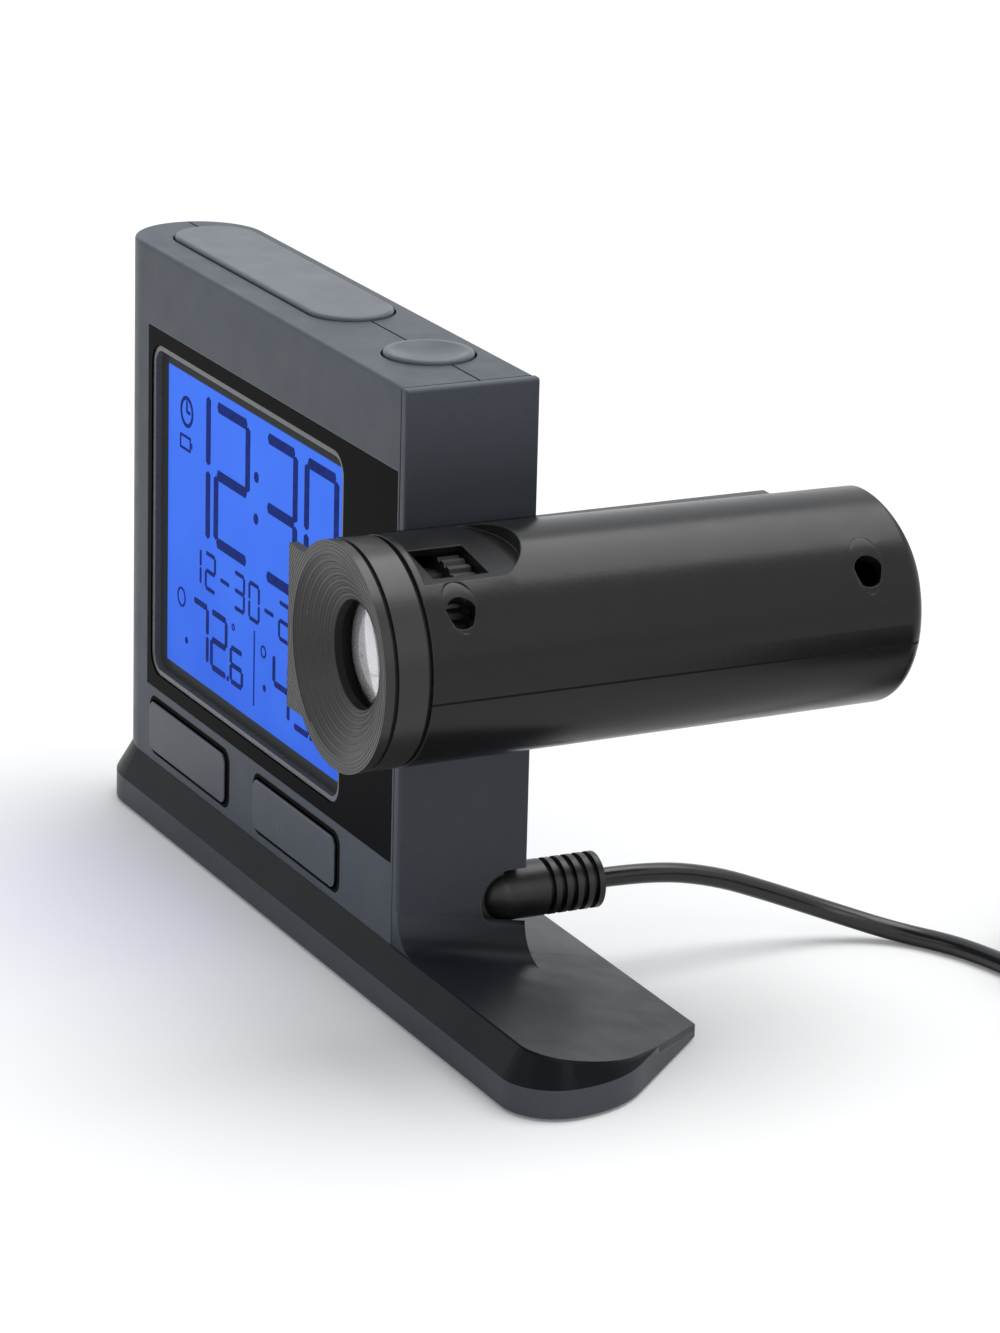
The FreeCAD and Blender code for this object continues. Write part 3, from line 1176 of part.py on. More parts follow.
def coil_place(turns):
    """Centre line of the coil: spirals in and out again, and climbs a layer as each spiral reverses."""
    span = COIL_TURNS_PER_LAYER
    layer = min(int(turns / span), COIL_LAYERS - 1)
    inside = turns - layer * span
    share = inside if layer % 2 == 0 else span - inside
    radius = coil_outer_radius - COIL_PITCH * share
    height = cord_radius
    for step in range(1, COIL_LAYERS):
        ramp = (turns - step * span) / COIL_RAMP_TURNS + 1 / 2
        ramp = min(max(ramp, 0), 1)
        height += COIL_PITCH * ramp * ramp * (3 - 2 * ramp)
    turn = math.radians(COIL_START_DEGREES + 360 * turns)
    return at(COIL_CENTRE_X + radius * math.cos(turn), COIL_CENTRE_Y + radius * math.sin(turn), height)


def coil_tangent(turns):
    step = 0.001
    low = max(turns - step, 0)
    high = min(turns + step, COIL_TURNS_PER_LAYER * COIL_LAYERS)
    return (coil_place(high) - coil_place(low)).normalize()


def coil_edges():
    edges = []
    quarters = 4 * COIL_TURNS_PER_LAYER * COIL_LAYERS
    for n in range(quarters):
        a = n / 4
        b = (n + 1) / 4
        edges += biarc(coil_place(a), coil_tangent(a), coil_place(b), coil_tangent(b))
    return edges


def least_gap():
    """Smallest free space between stretches of the coil that lie more than a third of a turn apart."""
    points = [coil_place(n / 72) for n in range(72 * COIL_TURNS_PER_LAYER * COIL_LAYERS + 1)]
    least = COIL_PITCH
    for n, p in enumerate(points):
        for q in points[n + 24:n + 72 * 7]:
            gap = (p - q).Length - CORD_DIAMETER
            least = min(least, gap)
    return least


def build_cord():
    points = cord_points()
    start = coil_place(0)
    lead_in = coil_tangent(0)
    before = start - lead_in * CORD_LEAD_IN
    route = points + [before, start]
    edges = route_edges(route)
    direction = (route[1] - route[0]).normalize()
    lead = swept(edges, route[0], direction)
    length = sum(e.Length for e in edges)
    print("lead length %.1f" % length)
    print("lead volume %.1f against %.1f" % (lead.Volume, math.pi * cord_radius ** 2 * length))
    save("cord_lead", lead)
    coil_path = coil_edges()
    coil = swept(coil_path, start, lead_in)
    coil_length = sum(e.Length for e in coil_path)
    print("coil length %.1f" % coil_length)
    print("coil volume %.1f against %.1f" % (coil.Volume, math.pi * cord_radius ** 2 * coil_length))
    print("coil least gap %.2f" % least_gap())
    save("cord_coil", coil)
    end = coil_place(COIL_TURNS_PER_LAYER * COIL_LAYERS)
    out = coil_tangent(COIL_TURNS_PER_LAYER * COIL_LAYERS)
    adapter_x = COIL_CENTRE_X + coil_outer_radius + ADAPTER_FROM_COIL
    return end, out, adapter_x, length, coil_length


def build_adapter(end, out, adapter_x, lead_length, coil_length):
    centre_y = ADAPTER_CENTRE_Y
    collar_z = ADAPTER_HEIGHT / 2
    low = at(adapter_x, centre_y - ADAPTER_WIDTH / 2, 0)
    case = block(low.x, low.x + ADAPTER_LENGTH, low.y, low.y + ADAPTER_WIDTH, 0, ADAPTER_HEIGHT)
    uprights = [e for e in case.Edges if e.BoundBox.ZLength > ADAPTER_CORNER]
    case = case.makeFillet(ADAPTER_CORNER, uprights)
    collar_start = at(adapter_x - ADAPTER_COLLAR_LENGTH, centre_y, collar_z)
    collar = Part.makeCone(cord_radius + WALL / 2, ADAPTER_COLLAR_RADIUS, ADAPTER_COLLAR_LENGTH,
                           collar_start, X)
    save("wall_adapter", case.fuse(collar))
    blades = []
    for side in (-1, 1):
        y = centre_y + side * BLADE_SPACING / 2
        blades.append(block(adapter_x + ADAPTER_LENGTH, adapter_x + ADAPTER_LENGTH + BLADE_LENGTH,
                            y - BLADE_THICKNESS / 2, y + BLADE_THICKNESS / 2, collar_z - BLADE_WIDTH / 2,
                            collar_z + BLADE_WIDTH / 2))
    save("adapter_blades", Part.makeCompound(blades))
    first = end + out * CORD_TAIL_IN
    last = collar_start - X * CORD_TAIL_IN
    route = [end, first, last, collar_start]
    edges = route_edges(route)
    tail = swept(edges, end, out)
    length = sum(e.Length for e in edges)
    print("tail length %.1f" % length)
    print("tail volume %.1f against %.1f" % (tail.Volume, math.pi * cord_radius ** 2 * length))
    print("cord length in all %.0f" % (lead_length + coil_length + length))
    save("cord_tail", tail)


def main():
    os.makedirs("parts", exist_ok=True)
    shell = case_shell()
    save("front_housing", front_housing(shell))
    save("rear_housing", rear_housing(shell))
    build_foot()
    build_display()
    build_keys()
    build_battery()
    build_inner()
    build_plug()
    build_pivot()
    build_arm()
    build_adapter(*build_cord())


main()
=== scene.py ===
# %% [markdown]
# # Projection alarm clock
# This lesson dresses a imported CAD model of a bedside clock: a flat body on a wide foot, a lit display,
# a tilting projector arm at one side, press keys and a supply lead. The frame gives every hard part in
# its true place, so the work here is finishes, light, the cord and a few fine pieces that the CAD model
# leaves out. Everything is in metres and shares the frame of the CAD model: X to the right, Y to the
# back, Z up. Most sizes are written in millimetres and multiplied by mm.

# %% Load the frame
import math

import bmesh
import bpy
from mathutils import Matrix, Vector


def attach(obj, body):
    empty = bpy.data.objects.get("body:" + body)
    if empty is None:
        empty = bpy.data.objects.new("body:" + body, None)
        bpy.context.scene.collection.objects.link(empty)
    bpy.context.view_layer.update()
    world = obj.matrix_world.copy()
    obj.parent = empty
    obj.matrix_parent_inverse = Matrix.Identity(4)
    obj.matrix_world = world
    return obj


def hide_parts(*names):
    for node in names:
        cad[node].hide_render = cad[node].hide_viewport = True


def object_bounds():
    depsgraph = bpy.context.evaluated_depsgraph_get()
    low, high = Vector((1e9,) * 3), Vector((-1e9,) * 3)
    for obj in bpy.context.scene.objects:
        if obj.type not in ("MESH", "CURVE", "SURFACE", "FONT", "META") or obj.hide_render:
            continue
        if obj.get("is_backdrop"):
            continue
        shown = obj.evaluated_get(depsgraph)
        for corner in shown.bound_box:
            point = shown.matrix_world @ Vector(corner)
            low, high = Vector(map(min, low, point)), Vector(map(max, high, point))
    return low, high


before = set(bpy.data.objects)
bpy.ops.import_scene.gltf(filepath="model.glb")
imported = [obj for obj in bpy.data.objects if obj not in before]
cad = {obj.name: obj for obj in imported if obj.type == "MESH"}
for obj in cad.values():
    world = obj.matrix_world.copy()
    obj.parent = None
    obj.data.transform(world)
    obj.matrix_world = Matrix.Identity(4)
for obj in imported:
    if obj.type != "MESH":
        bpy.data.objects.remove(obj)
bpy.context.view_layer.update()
mm = 0.001


def in_mm(corner):
    return [round(v / mm, 1) for v in corner]


# %% [markdown]
# The camera, the cord, the floor, the lamps and the small pieces all start alike: some data, and an
# object that shows it in the scene. The two steps could be written out each time, but one helper makes
# sure that nothing is left outside the scene.

# %% Show data in the scene
def show(name, data):
    """Makes an object of some data and links it to the scene."""
    thing = bpy.data.objects.new(name, data)
    bpy.context.scene.collection.objects.link(thing)
    return thing


# %% [markdown]
# The camera was fitted to the photograph's straight edges: the four corners of the body, the crease of
# the foot and the rim of the projector. A long lens far away keeps the gentle perspective that such
# product pictures have. It could be aimed by eye, but a fitted one lets every other piece be compared
# with the photograph pixel by pixel. The three vectors are its right, up and backward directions.

# %% Camera
camera_place = Vector((0.68304, -0.32414, 0.28087))
camera_right = Vector((0.43774619, 0.89876232, 0.02458786))
camera_up = Vector((-0.28223811, 0.11139763, 0.95285477))
camera_back = Vector((0.85365094, -0.42404818, 0.30242887))
lens_data = bpy.data.cameras.new("camera")
lens_data.sensor_fit = "AUTO"
lens_data.sensor_width = 36
lens_data.lens = 144.49
lens_data.clip_start = 0.01
lens_data.clip_end = 50
camera = show("camera", lens_data)
camera_turn = Matrix((camera_right, camera_up, camera_back)).transposed().to_4x4()
camera.matrix_world = Matrix.Translation(camera_place) @ camera_turn
bpy.context.scene.camera = camera
print("camera at", tuple(round(v, 3) for v in camera.location))

# %% [markdown]
# The cord comes next, because its free length decides how far the whole model reaches. On the real
# clock a thin lead leaves the ribbed collar of a right-angle plug, bends down under its own weight to
# the table, and runs out of the picture. What the picture doesn't show is put away behind the clock as
# a neat round coil beside the adapter. The coil could be drawn by hand, but a rule for one point of it
# keeps the turns a fixed distance apart: the cord spirals in, climbs a layer, spirals out, and so on.

# %% Rule of the coil
cord_thickness = 3.0
coil_centre = Vector((60, 100))
coil_outer_radius = 22.375
coil_start_degrees = -62
turn_pitch = 3.5
turns_in_a_layer = 3
coil_layers = 4
coil_turns = turns_in_a_layer * coil_layers
ramp_turns = 0.5


def coil_point(turns):
    """Centre of the wound cord after so many turns from its start."""
    layer = min(int(turns / turns_in_a_layer), coil_layers - 1)
    inside = turns - layer * turns_in_a_layer
    share = inside if layer % 2 == 0 else turns_in_a_layer - inside
    radius = coil_outer_radius - turn_pitch * share
    height = cord_thickness / 2
    for step in range(1, coil_layers):
        ramp = min(max((turns - step * turns_in_a_layer) / ramp_turns + 1 / 2, 0), 1)
        height += turn_pitch * ramp * ramp * (3 - 2 * ramp)
    angle = math.radians(coil_start_degrees + 360 * turns)
    return Vector((coil_centre.x + radius * math.cos(angle), coil_centre.y + radius * math.sin(angle),
                   height))


print("turns of the coil:", coil_turns)

# %% [markdown]
# The whole route runs from the plug's collar along the lead, round the coil and on to the adapter. The
# first bends follow the photograph. The lead could run straight into the first turn, but a point a
# little before it, and another behind the last turn, keep the cord in line with the coil, so that it
# doesn't kink there.

# %% Route of the cord
lead_route = [(27.4, 17.7, 14), (27.4, 27.1, 14), (27.5, 37.6, 11.9), (28.4, 47.2, 8.2),
              (30.0, 56.8, 4.3), (34.6, 65.3, 1.5), (42.6, 70.6, 1.5), (51.6, 73.4, 1.5)]
adapter_collar = Vector((93.375, 86.4, 14))
points_in_a_turn = 16
lead_in = 10.5
tail_in = 7.0
small_step = 0.001
coil_start, coil_end = coil_point(0), coil_point(coil_turns)
start_way = (coil_point(small_step) - coil_start).normalized()
end_way = (coil_end - coil_point(coil_turns - small_step)).normalized()
coil_route = [coil_point(n / points_in_a_turn) for n in range(coil_turns * points_in_a_turn + 1)]
tail_route = [coil_end + end_way * tail_in, adapter_collar - Vector((tail_in, 0, 0)), adapter_collar]
cord_route = [Vector(p) for p in lead_route] + [coil_start - start_way * lead_in] + coil_route + tail_route
print("cord control points:", len(cord_route))

# %% [markdown]
# The cord itself could be a mesh tube, but a NURBS curve with a round bevel is lighter and stays smooth,
# and its control points are the same as the CAD route's. The bevel is 1 and each point's radius is half
# the cord's thickness, because a curve's box grows by its points' radius.

# %% Cord
cord_curve = bpy.data.curves.new("supply_cord", "CURVE")
cord_curve.dimensions = "3D"
cord_curve.bevel_depth = 1
cord_curve.bevel_resolution = 5
cord_curve.resolution_u = 6
cord_curve.use_fill_caps = True
spline = cord_curve.splines.new("NURBS")
spline.points.add(len(cord_route) - 1)
for point, place in zip(spline.points, cord_route):
    point.co = (*(place * mm), 1)
    point.radius = cord_thickness / 2 * mm
spline.order_u = 3
spline.use_endpoint_u = True
cord = show("supply_cord", cord_curve)
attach(cord, "case")
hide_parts("cord_lead", "cord_coil", "cord_tail")
print("cord made with", len(spline.points), "points")

# %% [markdown]
# A finish is a small network of nodes. They could be wired one link at a time, but three helpers that
# feed a socket, feed several and add a node with its sockets fed keep each finish to a few lines.

# %% Feeding nodes
def feed(tree, socket, value):
    """Links a node's output to a socket, or sets a plain number, vector or colour on the socket."""
    if isinstance(value, bpy.types.NodeSocket):
        tree.links.new(value, socket)
    elif socket.type == "RGBA":
        socket.default_value = (*value, 1)
    else:
        socket.default_value = value


def feed_all(tree, node, values):
    for key, value in values.items():
        feed(tree, node.inputs[key], value)


def add(tree, kind, values=None, **settings):
    """Adds a node, sets its plain settings and feeds its sockets."""
    node = tree.nodes.new("ShaderNode" + kind)
    for key, value in settings.items():
        setattr(node, key, value)
    feed_all(tree, node, values or {})
    return node


print("materials so far:", len(bpy.data.materials))

# %% [markdown]
# Every finish reads Object coordinates. An unwrap could carry the patterns too, but CAD meshes have
# none, and Object coordinates give a pattern its true size on each part. They are metres here, so a
# noise scale of 2500 gives grains of roughly 0.4 mm. A finish is given to CAD nodes by their names.

# %% Starting a finish
def parts_of(finish):
    """The node tree, the shader and the Object coordinates of a finish."""
    tree = finish.node_tree
    place = [node for node in tree.nodes if node.type == "TEX_COORD"][0]
    return tree, tree.nodes["Principled BSDF"], place.outputs["Object"]


def new_finish(name):
    """A material with its shader and Object coordinates, followed by these parts of it."""
    finish = bpy.data.materials.new(name)
    finish.use_nodes = True
    add(finish.node_tree, "TexCoord")
    return finish, *parts_of(finish)


def paint(finish, *names):
    """Gives a finish to CAD nodes."""
    for name in names:
        cad[name].data.materials.clear()
        cad[name].data.materials.append(finish)


print("CAD nodes to paint:", len(cad))

# %% [markdown]
# Five small building blocks turn up in every finish: a noise, a range that a value is mapped to, a mix of
# two colours, a step of arithmetic and a bump. They could be a node group each, but plain functions are
# easier to read.

# %% Building blocks of finishes
def noise(tree, place, scale, detail=2.0, roughness=0.5):
    values = {"Vector": place, "Scale": scale, "Detail": detail, "Roughness": roughness}
    return add(tree, "TexNoise", values).outputs["Fac"]


def ranged(tree, value, low, high, start=0.3, end=0.7):
    """Maps a value between start and end to a range of a finish, such as its roughness."""
    values = {"Value": value, "From Min": start, "From Max": end, "To Min": low, "To Max": high}
    return add(tree, "MapRange", values).outputs["Result"]


def mixed(tree, share, first, second):
    """Mixes two colours; each is a plain colour or a node's output."""
    node = add(tree, "Mix", {"Factor": share}, data_type="RGBA")
    for socket, colour in zip([s for s in node.inputs if s.type == "RGBA"], (first, second)):
        feed(tree, socket, colour)
    return [s for s in node.outputs if s.type == "RGBA"][0]


def maths(tree, operation, *values):
    return add(tree, "Math", dict(enumerate(values)), operation=operation).outputs[0]


def vector_maths(tree, operation, *values):
    node = add(tree, "VectorMath", dict(enumerate(values)), operation=operation)
    return node.outputs["Value" if operation in ("LENGTH", "DOT_PRODUCT") else "Vector"]


def bumped(tree, height, strength, depth, under=None):
    """The normal of a surface that rises and falls by a depth in mm, over another normal if given."""
    node = add(tree, "Bump", {"Height": height, "Strength": strength, "Distance": depth * mm})
    if under is not None:
        feed(tree, node.inputs["Normal"], under)
    return node.outputs["Normal"]


def shade(colour, factor):
    return [c * factor for c in colour]


print("building blocks ready")

# %% [markdown]
# Some mouldings change their finish at a line or inside an outline, such as a seam between two shells.
# That could be cut into the solid, but the CAD meshes stay exact, so a mask on Object coordinates does
# it: a value of 1 where the change shows and 0 elsewhere, with a soft edge of less than 0.1 mm.

# %% Masks
mask_fade = 0.08
seam_fade = 0.07


def coordinate(tree, place, axis):
    return add(tree, "SeparateXYZ", {"Vector": place}).outputs[axis]


def step_mask(tree, place, axis, start, end):
    """0 before one place on an axis and 1 past another, both in mm."""
    return ranged(tree, coordinate(tree, place, axis), 0, 1, start * mm, end * mm)


def line_mask(tree, place, axis, spot, half_width):
    """1 along a thin line at one place on an axis and 0 away from it, in mm."""
    away = maths(tree, "SUBTRACT", coordinate(tree, place, axis), spot * mm)
    distance = maths(tree, "ABSOLUTE", away)
    return ranged(tree, distance, 1, 0, half_width * mm, (half_width + seam_fade) * mm)


def rounded_mask(tree, place, centre, size, corner):
    """1 inside a rounded rectangle on the front (centre and size as x, z in mm), 0 outside it."""
    reach = [(size[0] / 2 - corner) * mm, 0, (size[1] / 2 - corner) * mm]
    flat = vector_maths(tree, "MULTIPLY", place, (1, 0, 1))
    from_centre = vector_maths(tree, "SUBTRACT", flat, (centre[0] * mm, 0, centre[1] * mm))
    beyond = vector_maths(tree, "SUBTRACT", vector_maths(tree, "ABSOLUTE", from_centre), reach)
    distance = vector_maths(tree, "LENGTH", vector_maths(tree, "MAXIMUM", beyond, (0, 0, 0)))
    return ranged(tree, distance, 1, 0, corner * mm, (corner + mask_fade) * mm)


print("masks fade over", mask_fade, "mm")

# %% [markdown]
# With a mask, a second colour can be laid over a finish that is already there. The finish could be
# built again with that colour in it, but it is shorter to take what feeds the shader now and to mix the
# new colour over it. In a deep line the gloss goes too, or the line would shine.

# %% Covering part of a finish
def cover(finish, mask, colour, dull=False):
    """Lays a colour over a finish where a mask is 1, and takes its gloss off there if dull."""
    tree, shader, _ = parts_of(finish)
    under = shader.inputs["Base Color"].links[0].from_socket
    feed(tree, shader.inputs["Base Color"], mixed(tree, mask, under, colour))
    if dull:
        gloss = shader.inputs["Roughness"].links[0].from_socket
        feed(tree, shader.inputs["Roughness"], maths(tree, "MAXIMUM", gloss, mask))


print("seams fade over", seam_fade, "mm")

# %% [markdown]
# The housing looks like dark grey ABS with a fine spark-eroded texture. Real mouldings are never one
# even tone: the grain catches light, the gloss drifts a little across a wall, and handling wears the
# edges. The edges could be rounded in the mesh, but a Bevel node rounds them in the shading only, without
# touching the CAD mesh. Where it rounds them, the colour is made lighter, partly as edge wear and partly
# as a painted highlight, which gives the thin light lines along the corners. Where two shells meet, a mask
# along the parting plane darkens and dulls the surface. One function makes the whole family.

# %% Moulded plastic
patch_scale, patch_detail = 38, 3
haze_scale, haze_detail = 190, 4
speck_share, speck_range = 0.45, 0.10
gloss_range = 0.12
full_wear_and_highlight, no_wear_or_highlight = 0.90, 0.995
seam_colour = (0.0015, 0.0015, 0.0018)


def moulded_plastic(name, colour, gloss, grain=2600, depth=0.05, drift=0.10, edge=0.35, shine=0.5,
                    edge_wear_and_highlight=1.25, seam=None):
    """Textured thermoplastic; grain is per metre, depth its strength, edge a radius in mm."""
    finish, tree, shader, place = new_finish(name)
    patches = ranged(tree, noise(tree, place, patch_scale, patch_detail), 0, 1)
    body = mixed(tree, patches, shade(colour, 1 - drift), shade(colour, 1 + drift))
    fine = noise(tree, place, grain, 3, 0.6)
    grains = ranged(tree, fine, 0, 1, 0.35, 0.65)
    speck = mixed(tree, grains, shade(colour, 1 - speck_range), shade(colour, 1 + speck_range))
    coat = mixed(tree, speck_share, body, speck)
    round_edge = add(tree, "Bevel", {"Radius": edge * mm}, samples=4).outputs["Normal"]
    flat = add(tree, "NewGeometry").outputs["Normal"]
    # Edge wear and painted highlight: where the Bevel node rounds an edge, the colour is lifted towards a
    # lighter tone.
    wear_and_highlight_share = ranged(tree, vector_maths(tree, "DOT_PRODUCT", round_edge, flat), 1, 0, full_wear_and_highlight, no_wear_or_highlight)
    worn_highlit_colour = [min(c * edge_wear_and_highlight + 0.004, 1) for c in colour]
    haze = noise(tree, place, haze_scale, haze_detail)
    uneven = ranged(tree, haze, gloss * (1 - gloss_range), gloss * (1 + gloss_range))
    feed_all(tree, shader, {"Base Color": mixed(tree, wear_and_highlight_share, coat, worn_highlit_colour),
                            "Roughness": uneven,
                            "Specular IOR Level": shine,
                            "Normal": bumped(tree, fine, depth, 0.2, round_edge)})
    if seam:
        cover(finish, line_mask(tree, place, *seam), seam_colour, dull=True)
    return finish


print("edge wear starts at", round(math.degrees(math.acos(no_wear_or_highlight)), 1), "degrees of rounding")

# %% [markdown]
# The clock uses a handful of plastics. The shells, the side panel and the keys are a bluish dark grey
# that differs a little from moulding to moulding, and the arm is a smoother near-black. They could all
# share one finish, but the small differences are what tells the pieces apart. A lower shine keeps a
# surface dark where it mirrors the pale floor at a low angle.

# %% The plastics of this clock
case_part, arm_part, adapter_part = -3.8, 57.3, 134.0
housing_look = dict(colour=(0.074, 0.087, 0.106), gloss=0.38, depth=0.08, shine=0.14, edge_wear_and_highlight=1.8,
                    seam=("Y", case_part, 0.13))
housing = moulded_plastic("housing_plastic", **housing_look)
front_shell = moulded_plastic("front_shell_plastic", **housing_look)
side_satin = moulded_plastic("side_panel_plastic", (0.068, 0.075, 0.091), 0.36, depth=0.06, shine=0.16,
                             edge_wear_and_highlight=1.9)
arm_plastic = moulded_plastic("arm_plastic", (0.0085, 0.0085, 0.0090), 0.24, depth=0.05, grain=3200,
                              edge=0.30, shine=0.29, edge_wear_and_highlight=2.8, seam=("Z", arm_part, 0.14))
key_plastic = moulded_plastic("key_plastic", (0.064, 0.076, 0.092), 0.30, depth=0.03, edge=0.40, shine=0.25,
                              edge_wear_and_highlight=4.0)
bar_plastic = moulded_plastic("top_key_plastic", (0.104, 0.119, 0.141), 0.32, depth=0.05, edge=0.45,
                              shine=0.30, edge_wear_and_highlight=1.9)
adapter_plastic = moulded_plastic("adapter_plastic", (0.025, 0.025, 0.026), 0.44, depth=0.16, grain=1500,
                                  edge=0.6, seam=("X", adapter_part, 0.16))
inner_plastic = moulded_plastic("inner_black_plastic", (0.014, 0.014, 0.015), 0.50, depth=0.08)
white_plastic = moulded_plastic("white_acetal", (0.62, 0.61, 0.57), 0.38, depth=0.03, drift=0.03)
paint(housing, "rear_housing", "battery_door")
paint(side_satin, "side_panel")
paint(arm_plastic, "arm_upper_shell", "arm_lower_shell")
paint(key_plastic, "left_key", "right_key")
paint(bar_plastic, "snooze_bar", "round_key")
paint(adapter_plastic, "wall_adapter")
paint(inner_plastic, "optics_tube", "lens_barrel", "image_holder", "buzzer", "dc_socket", "base_plate",
      "key_switches")
paint(white_plastic, "pivot_bush", "lcd_connector", "backlight")
print("plastics made:", len([m for m in bpy.data.materials if "plastic" in m.name or "acetal" in m.name]))

# %% [markdown]
# The two front keys sit in narrow gaps in the front shell, and the shade in these gaps shows as a dark
# border round each key. The border could be a ring of its own, but in the photograph it is only a dark,
# shaded border. So the front shell gets painted shade: a rounded mask round each key, a little wider on
# the side away from the light, laid on in near black. The keys' own side walls are darkened behind their
# faces.

# %% Painted shade round the front keys
key_centres, key_height, key_size, key_front = (-45.78, -4.83), 15.1, (29.95, 8.0), -16.3
gap_shade_size, gap_shade_corner = (key_size[0] + 1.9, key_size[1] + 1.6), 2.2
tree, _, place = parts_of(front_shell)
for key_centre in key_centres:
    middle = (key_centre + 0.25, key_height + 0.15)
    # Painted shade: near black laid on the shell round the key, offset away from the light.
    gap_shade = rounded_mask(tree, place, middle, gap_shade_size, gap_shade_corner)
    cover(front_shell, gap_shade, (0.0012, 0.0012, 0.0015), dull=True)
paint(front_shell, "front_housing")

tree, _, place = parts_of(key_plastic)
behind_face = step_mask(tree, place, "Y", key_front + 0.08, key_front + 0.16)
cover(key_plastic, behind_face, (0.0025, 0.0025, 0.0030))
print("surround of a key in mm:", [round(v, 2) for v in gap_shade_size])

# %% [markdown]
# The foot's shell has a satin wall at the table and, above its crease, a leaning band polished nearly
# black. The two could be separate parts, but they are one moulding with two finishes, so a mask on
# height mixes them. The top skin of the foot belongs to the side panel, and a mask on height paints
# shade on it, so that it comes out darker than the panel's upright wall.

# %% Foot
rim_height, rim_fade = 4.65, 0.06
wall_start, skin_end = 14, 9.5
foot_plastic = moulded_plastic("foot_plastic", (0.070, 0.077, 0.088), 0.34, depth=0.05, grain=1800,
                               shine=0.10, edge_wear_and_highlight=1.8)
tree, _, place = parts_of(foot_plastic)
above_rim = step_mask(tree, place, "Z", rim_height - rim_fade, rim_height + rim_fade)
cover(foot_plastic, above_rim, (0.0035, 0.0040, 0.0050))
paint(foot_plastic, "base_shell")

tree, _, place = parts_of(side_satin)
# Painted shade: the side panel's finish is darkened below its upright wall, on the foot's top skin.
cover(side_satin, step_mask(tree, place, "Z", wall_start, skin_end), (0.018, 0.022, 0.028))
print("polished band starts at", rim_height, "mm")

# %% [markdown]
# The ring at the mouth of the arm carries very fine turned grooves, finer than the CAD ribs. They could
# be cut in the ring, but hundreds of tiny faces would serve a pattern that only catches the light. So a
# wave of rings about the arm's axis dips the ring's normal. A wave texture runs through 20 radians in
# one unit, and its scale is set from that.

# %% Lens ring
arm_axis_x, arm_axis_z, arm_front_y = 48.7, 60.4, -34.1
groove_spacing, groove_depth = 0.5, 0.12
lens_ring = moulded_plastic("lens_ring_plastic", (0.024, 0.023, 0.022), 0.30, depth=0.04, grain=3200,
                            edge=0.10, shine=0.40, edge_wear_and_highlight=2.0)
tree, shader, place = parts_of(lens_ring)
to_axis = (-arm_axis_x * mm, 0, -arm_axis_z * mm)
centred = add(tree, "Mapping", {"Vector": place, "Location": to_axis}).outputs["Vector"]
wave_radians = 20
wave_scale = math.tau / (wave_radians * groove_spacing * mm)
grooves = add(tree, "TexWave", {"Vector": centred, "Scale": wave_scale}, wave_type="RINGS",
              rings_direction="Y").outputs["Fac"]
plain_normal = shader.inputs["Normal"].links[0].from_socket
feed(tree, shader.inputs["Normal"], bumped(tree, grooves, 0.5, groove_depth, plain_normal))
paint(lens_ring, "lens_cap")
print("grooves every", groove_spacing, "mm")

# %% [markdown]
# A few small pieces are made here and not in CAD. Each starts as a bmesh in millimetres. Its last steps
# could stand in every piece's cell, but one function keeps them alike: it brings the bmesh to metres,
# turns its faces outwards and lets the piece ride on the body that carries it.

# %% Making a piece
def make_piece(sheet, name, body, finish, sharp=None):
    """Turns a bmesh in mm into a piece on a body; edges over the sharp angle in degrees stay hard."""
    bmesh.ops.transform(sheet, verts=sheet.verts, matrix=Matrix.Scale(mm, 4))
    bmesh.ops.recalc_face_normals(sheet, faces=sheet.faces)
    mesh = bpy.data.meshes.new(name)
    sheet.to_mesh(mesh)
    sheet.free()
    if sharp is not None:
        mesh.shade_smooth()
        mesh.set_sharp_from_angle(angle=math.radians(sharp))
    mesh.materials.append(finish)
    piece = show(name, mesh)
    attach(piece, body)
    return piece


hard_edge = 35
print("edges stay hard above", hard_edge, "degrees")

# %% [markdown]
# The photograph shows no light between the case and its side panel, but what closes the narrow gap
# there can't be seen. A thin dark strip with broken edges is put in the gap as painted shade, dark like
# the shade that fills such a gap. It could be left out, as it is never seen itself, but without it a
# bright line shows from straight ahead.

# %% Dark strip for the shade between case and side panel
gap_strip_low, gap_strip_high, gap_strip_edge = Vector((29.43, -12.0, 8.0)), Vector((29.67, 2.0, 91.0)), 0.05
gap_shade_strip = bmesh.new()
bmesh.ops.create_cube(gap_shade_strip, size=1)
bmesh.ops.scale(gap_shade_strip, verts=gap_shade_strip.verts, vec=gap_strip_high - gap_strip_low)
bmesh.ops.translate(gap_shade_strip, verts=gap_shade_strip.verts, vec=(gap_strip_high + gap_strip_low) / 2)
bmesh.ops.bevel(gap_shade_strip, geom=list(gap_shade_strip.edges), offset=gap_strip_edge, affect="EDGES", segments=1, profile=0.5,
                material=-1)
# Painted shade: a dark strip stands where only the shade of the gap would show.
make_piece(gap_shade_strip, "panel_gap_shade", "case", inner_plastic, hard_edge)
print("seal in mm:", [round(v, 2) for v in gap_strip_high - gap_strip_low])

# %% [markdown]
# Two screws hold the arm's shells together, each at the foot of a well. In the CAD model the wells run
# straight down through a round wall, which leaves long oval mouths, while in the photograph they look
# round. A hole could be bored again through the shell, but the CAD meshes stay as they are. So each gets a
# thin collar: a ring spun from a short profile, stretched from a round hole to the oval rim and wrapped
# round the arm, 0.02 mm proud of it, with a short tube going in.

# %% Collars of the screw wells
well_x, well_radius, well_drop, tube_depth, collar_rise = 61.2, 2.3, 1.1, 2.2, 0.02
arm_front_radius, arm_taper = 16.2, 0.6 / 84.4
rim_over_end, rim_over_side, spin_steps = 0.2, 0.3, 40
collar_profile = [(1.2, -0.25), (1, -0.045), (0.7, -0.012), (0.35, 0), (0, 0), (0, -0.5), (0, -tube_depth),
                  (0.1, -tube_depth), (1.2, -0.8)]


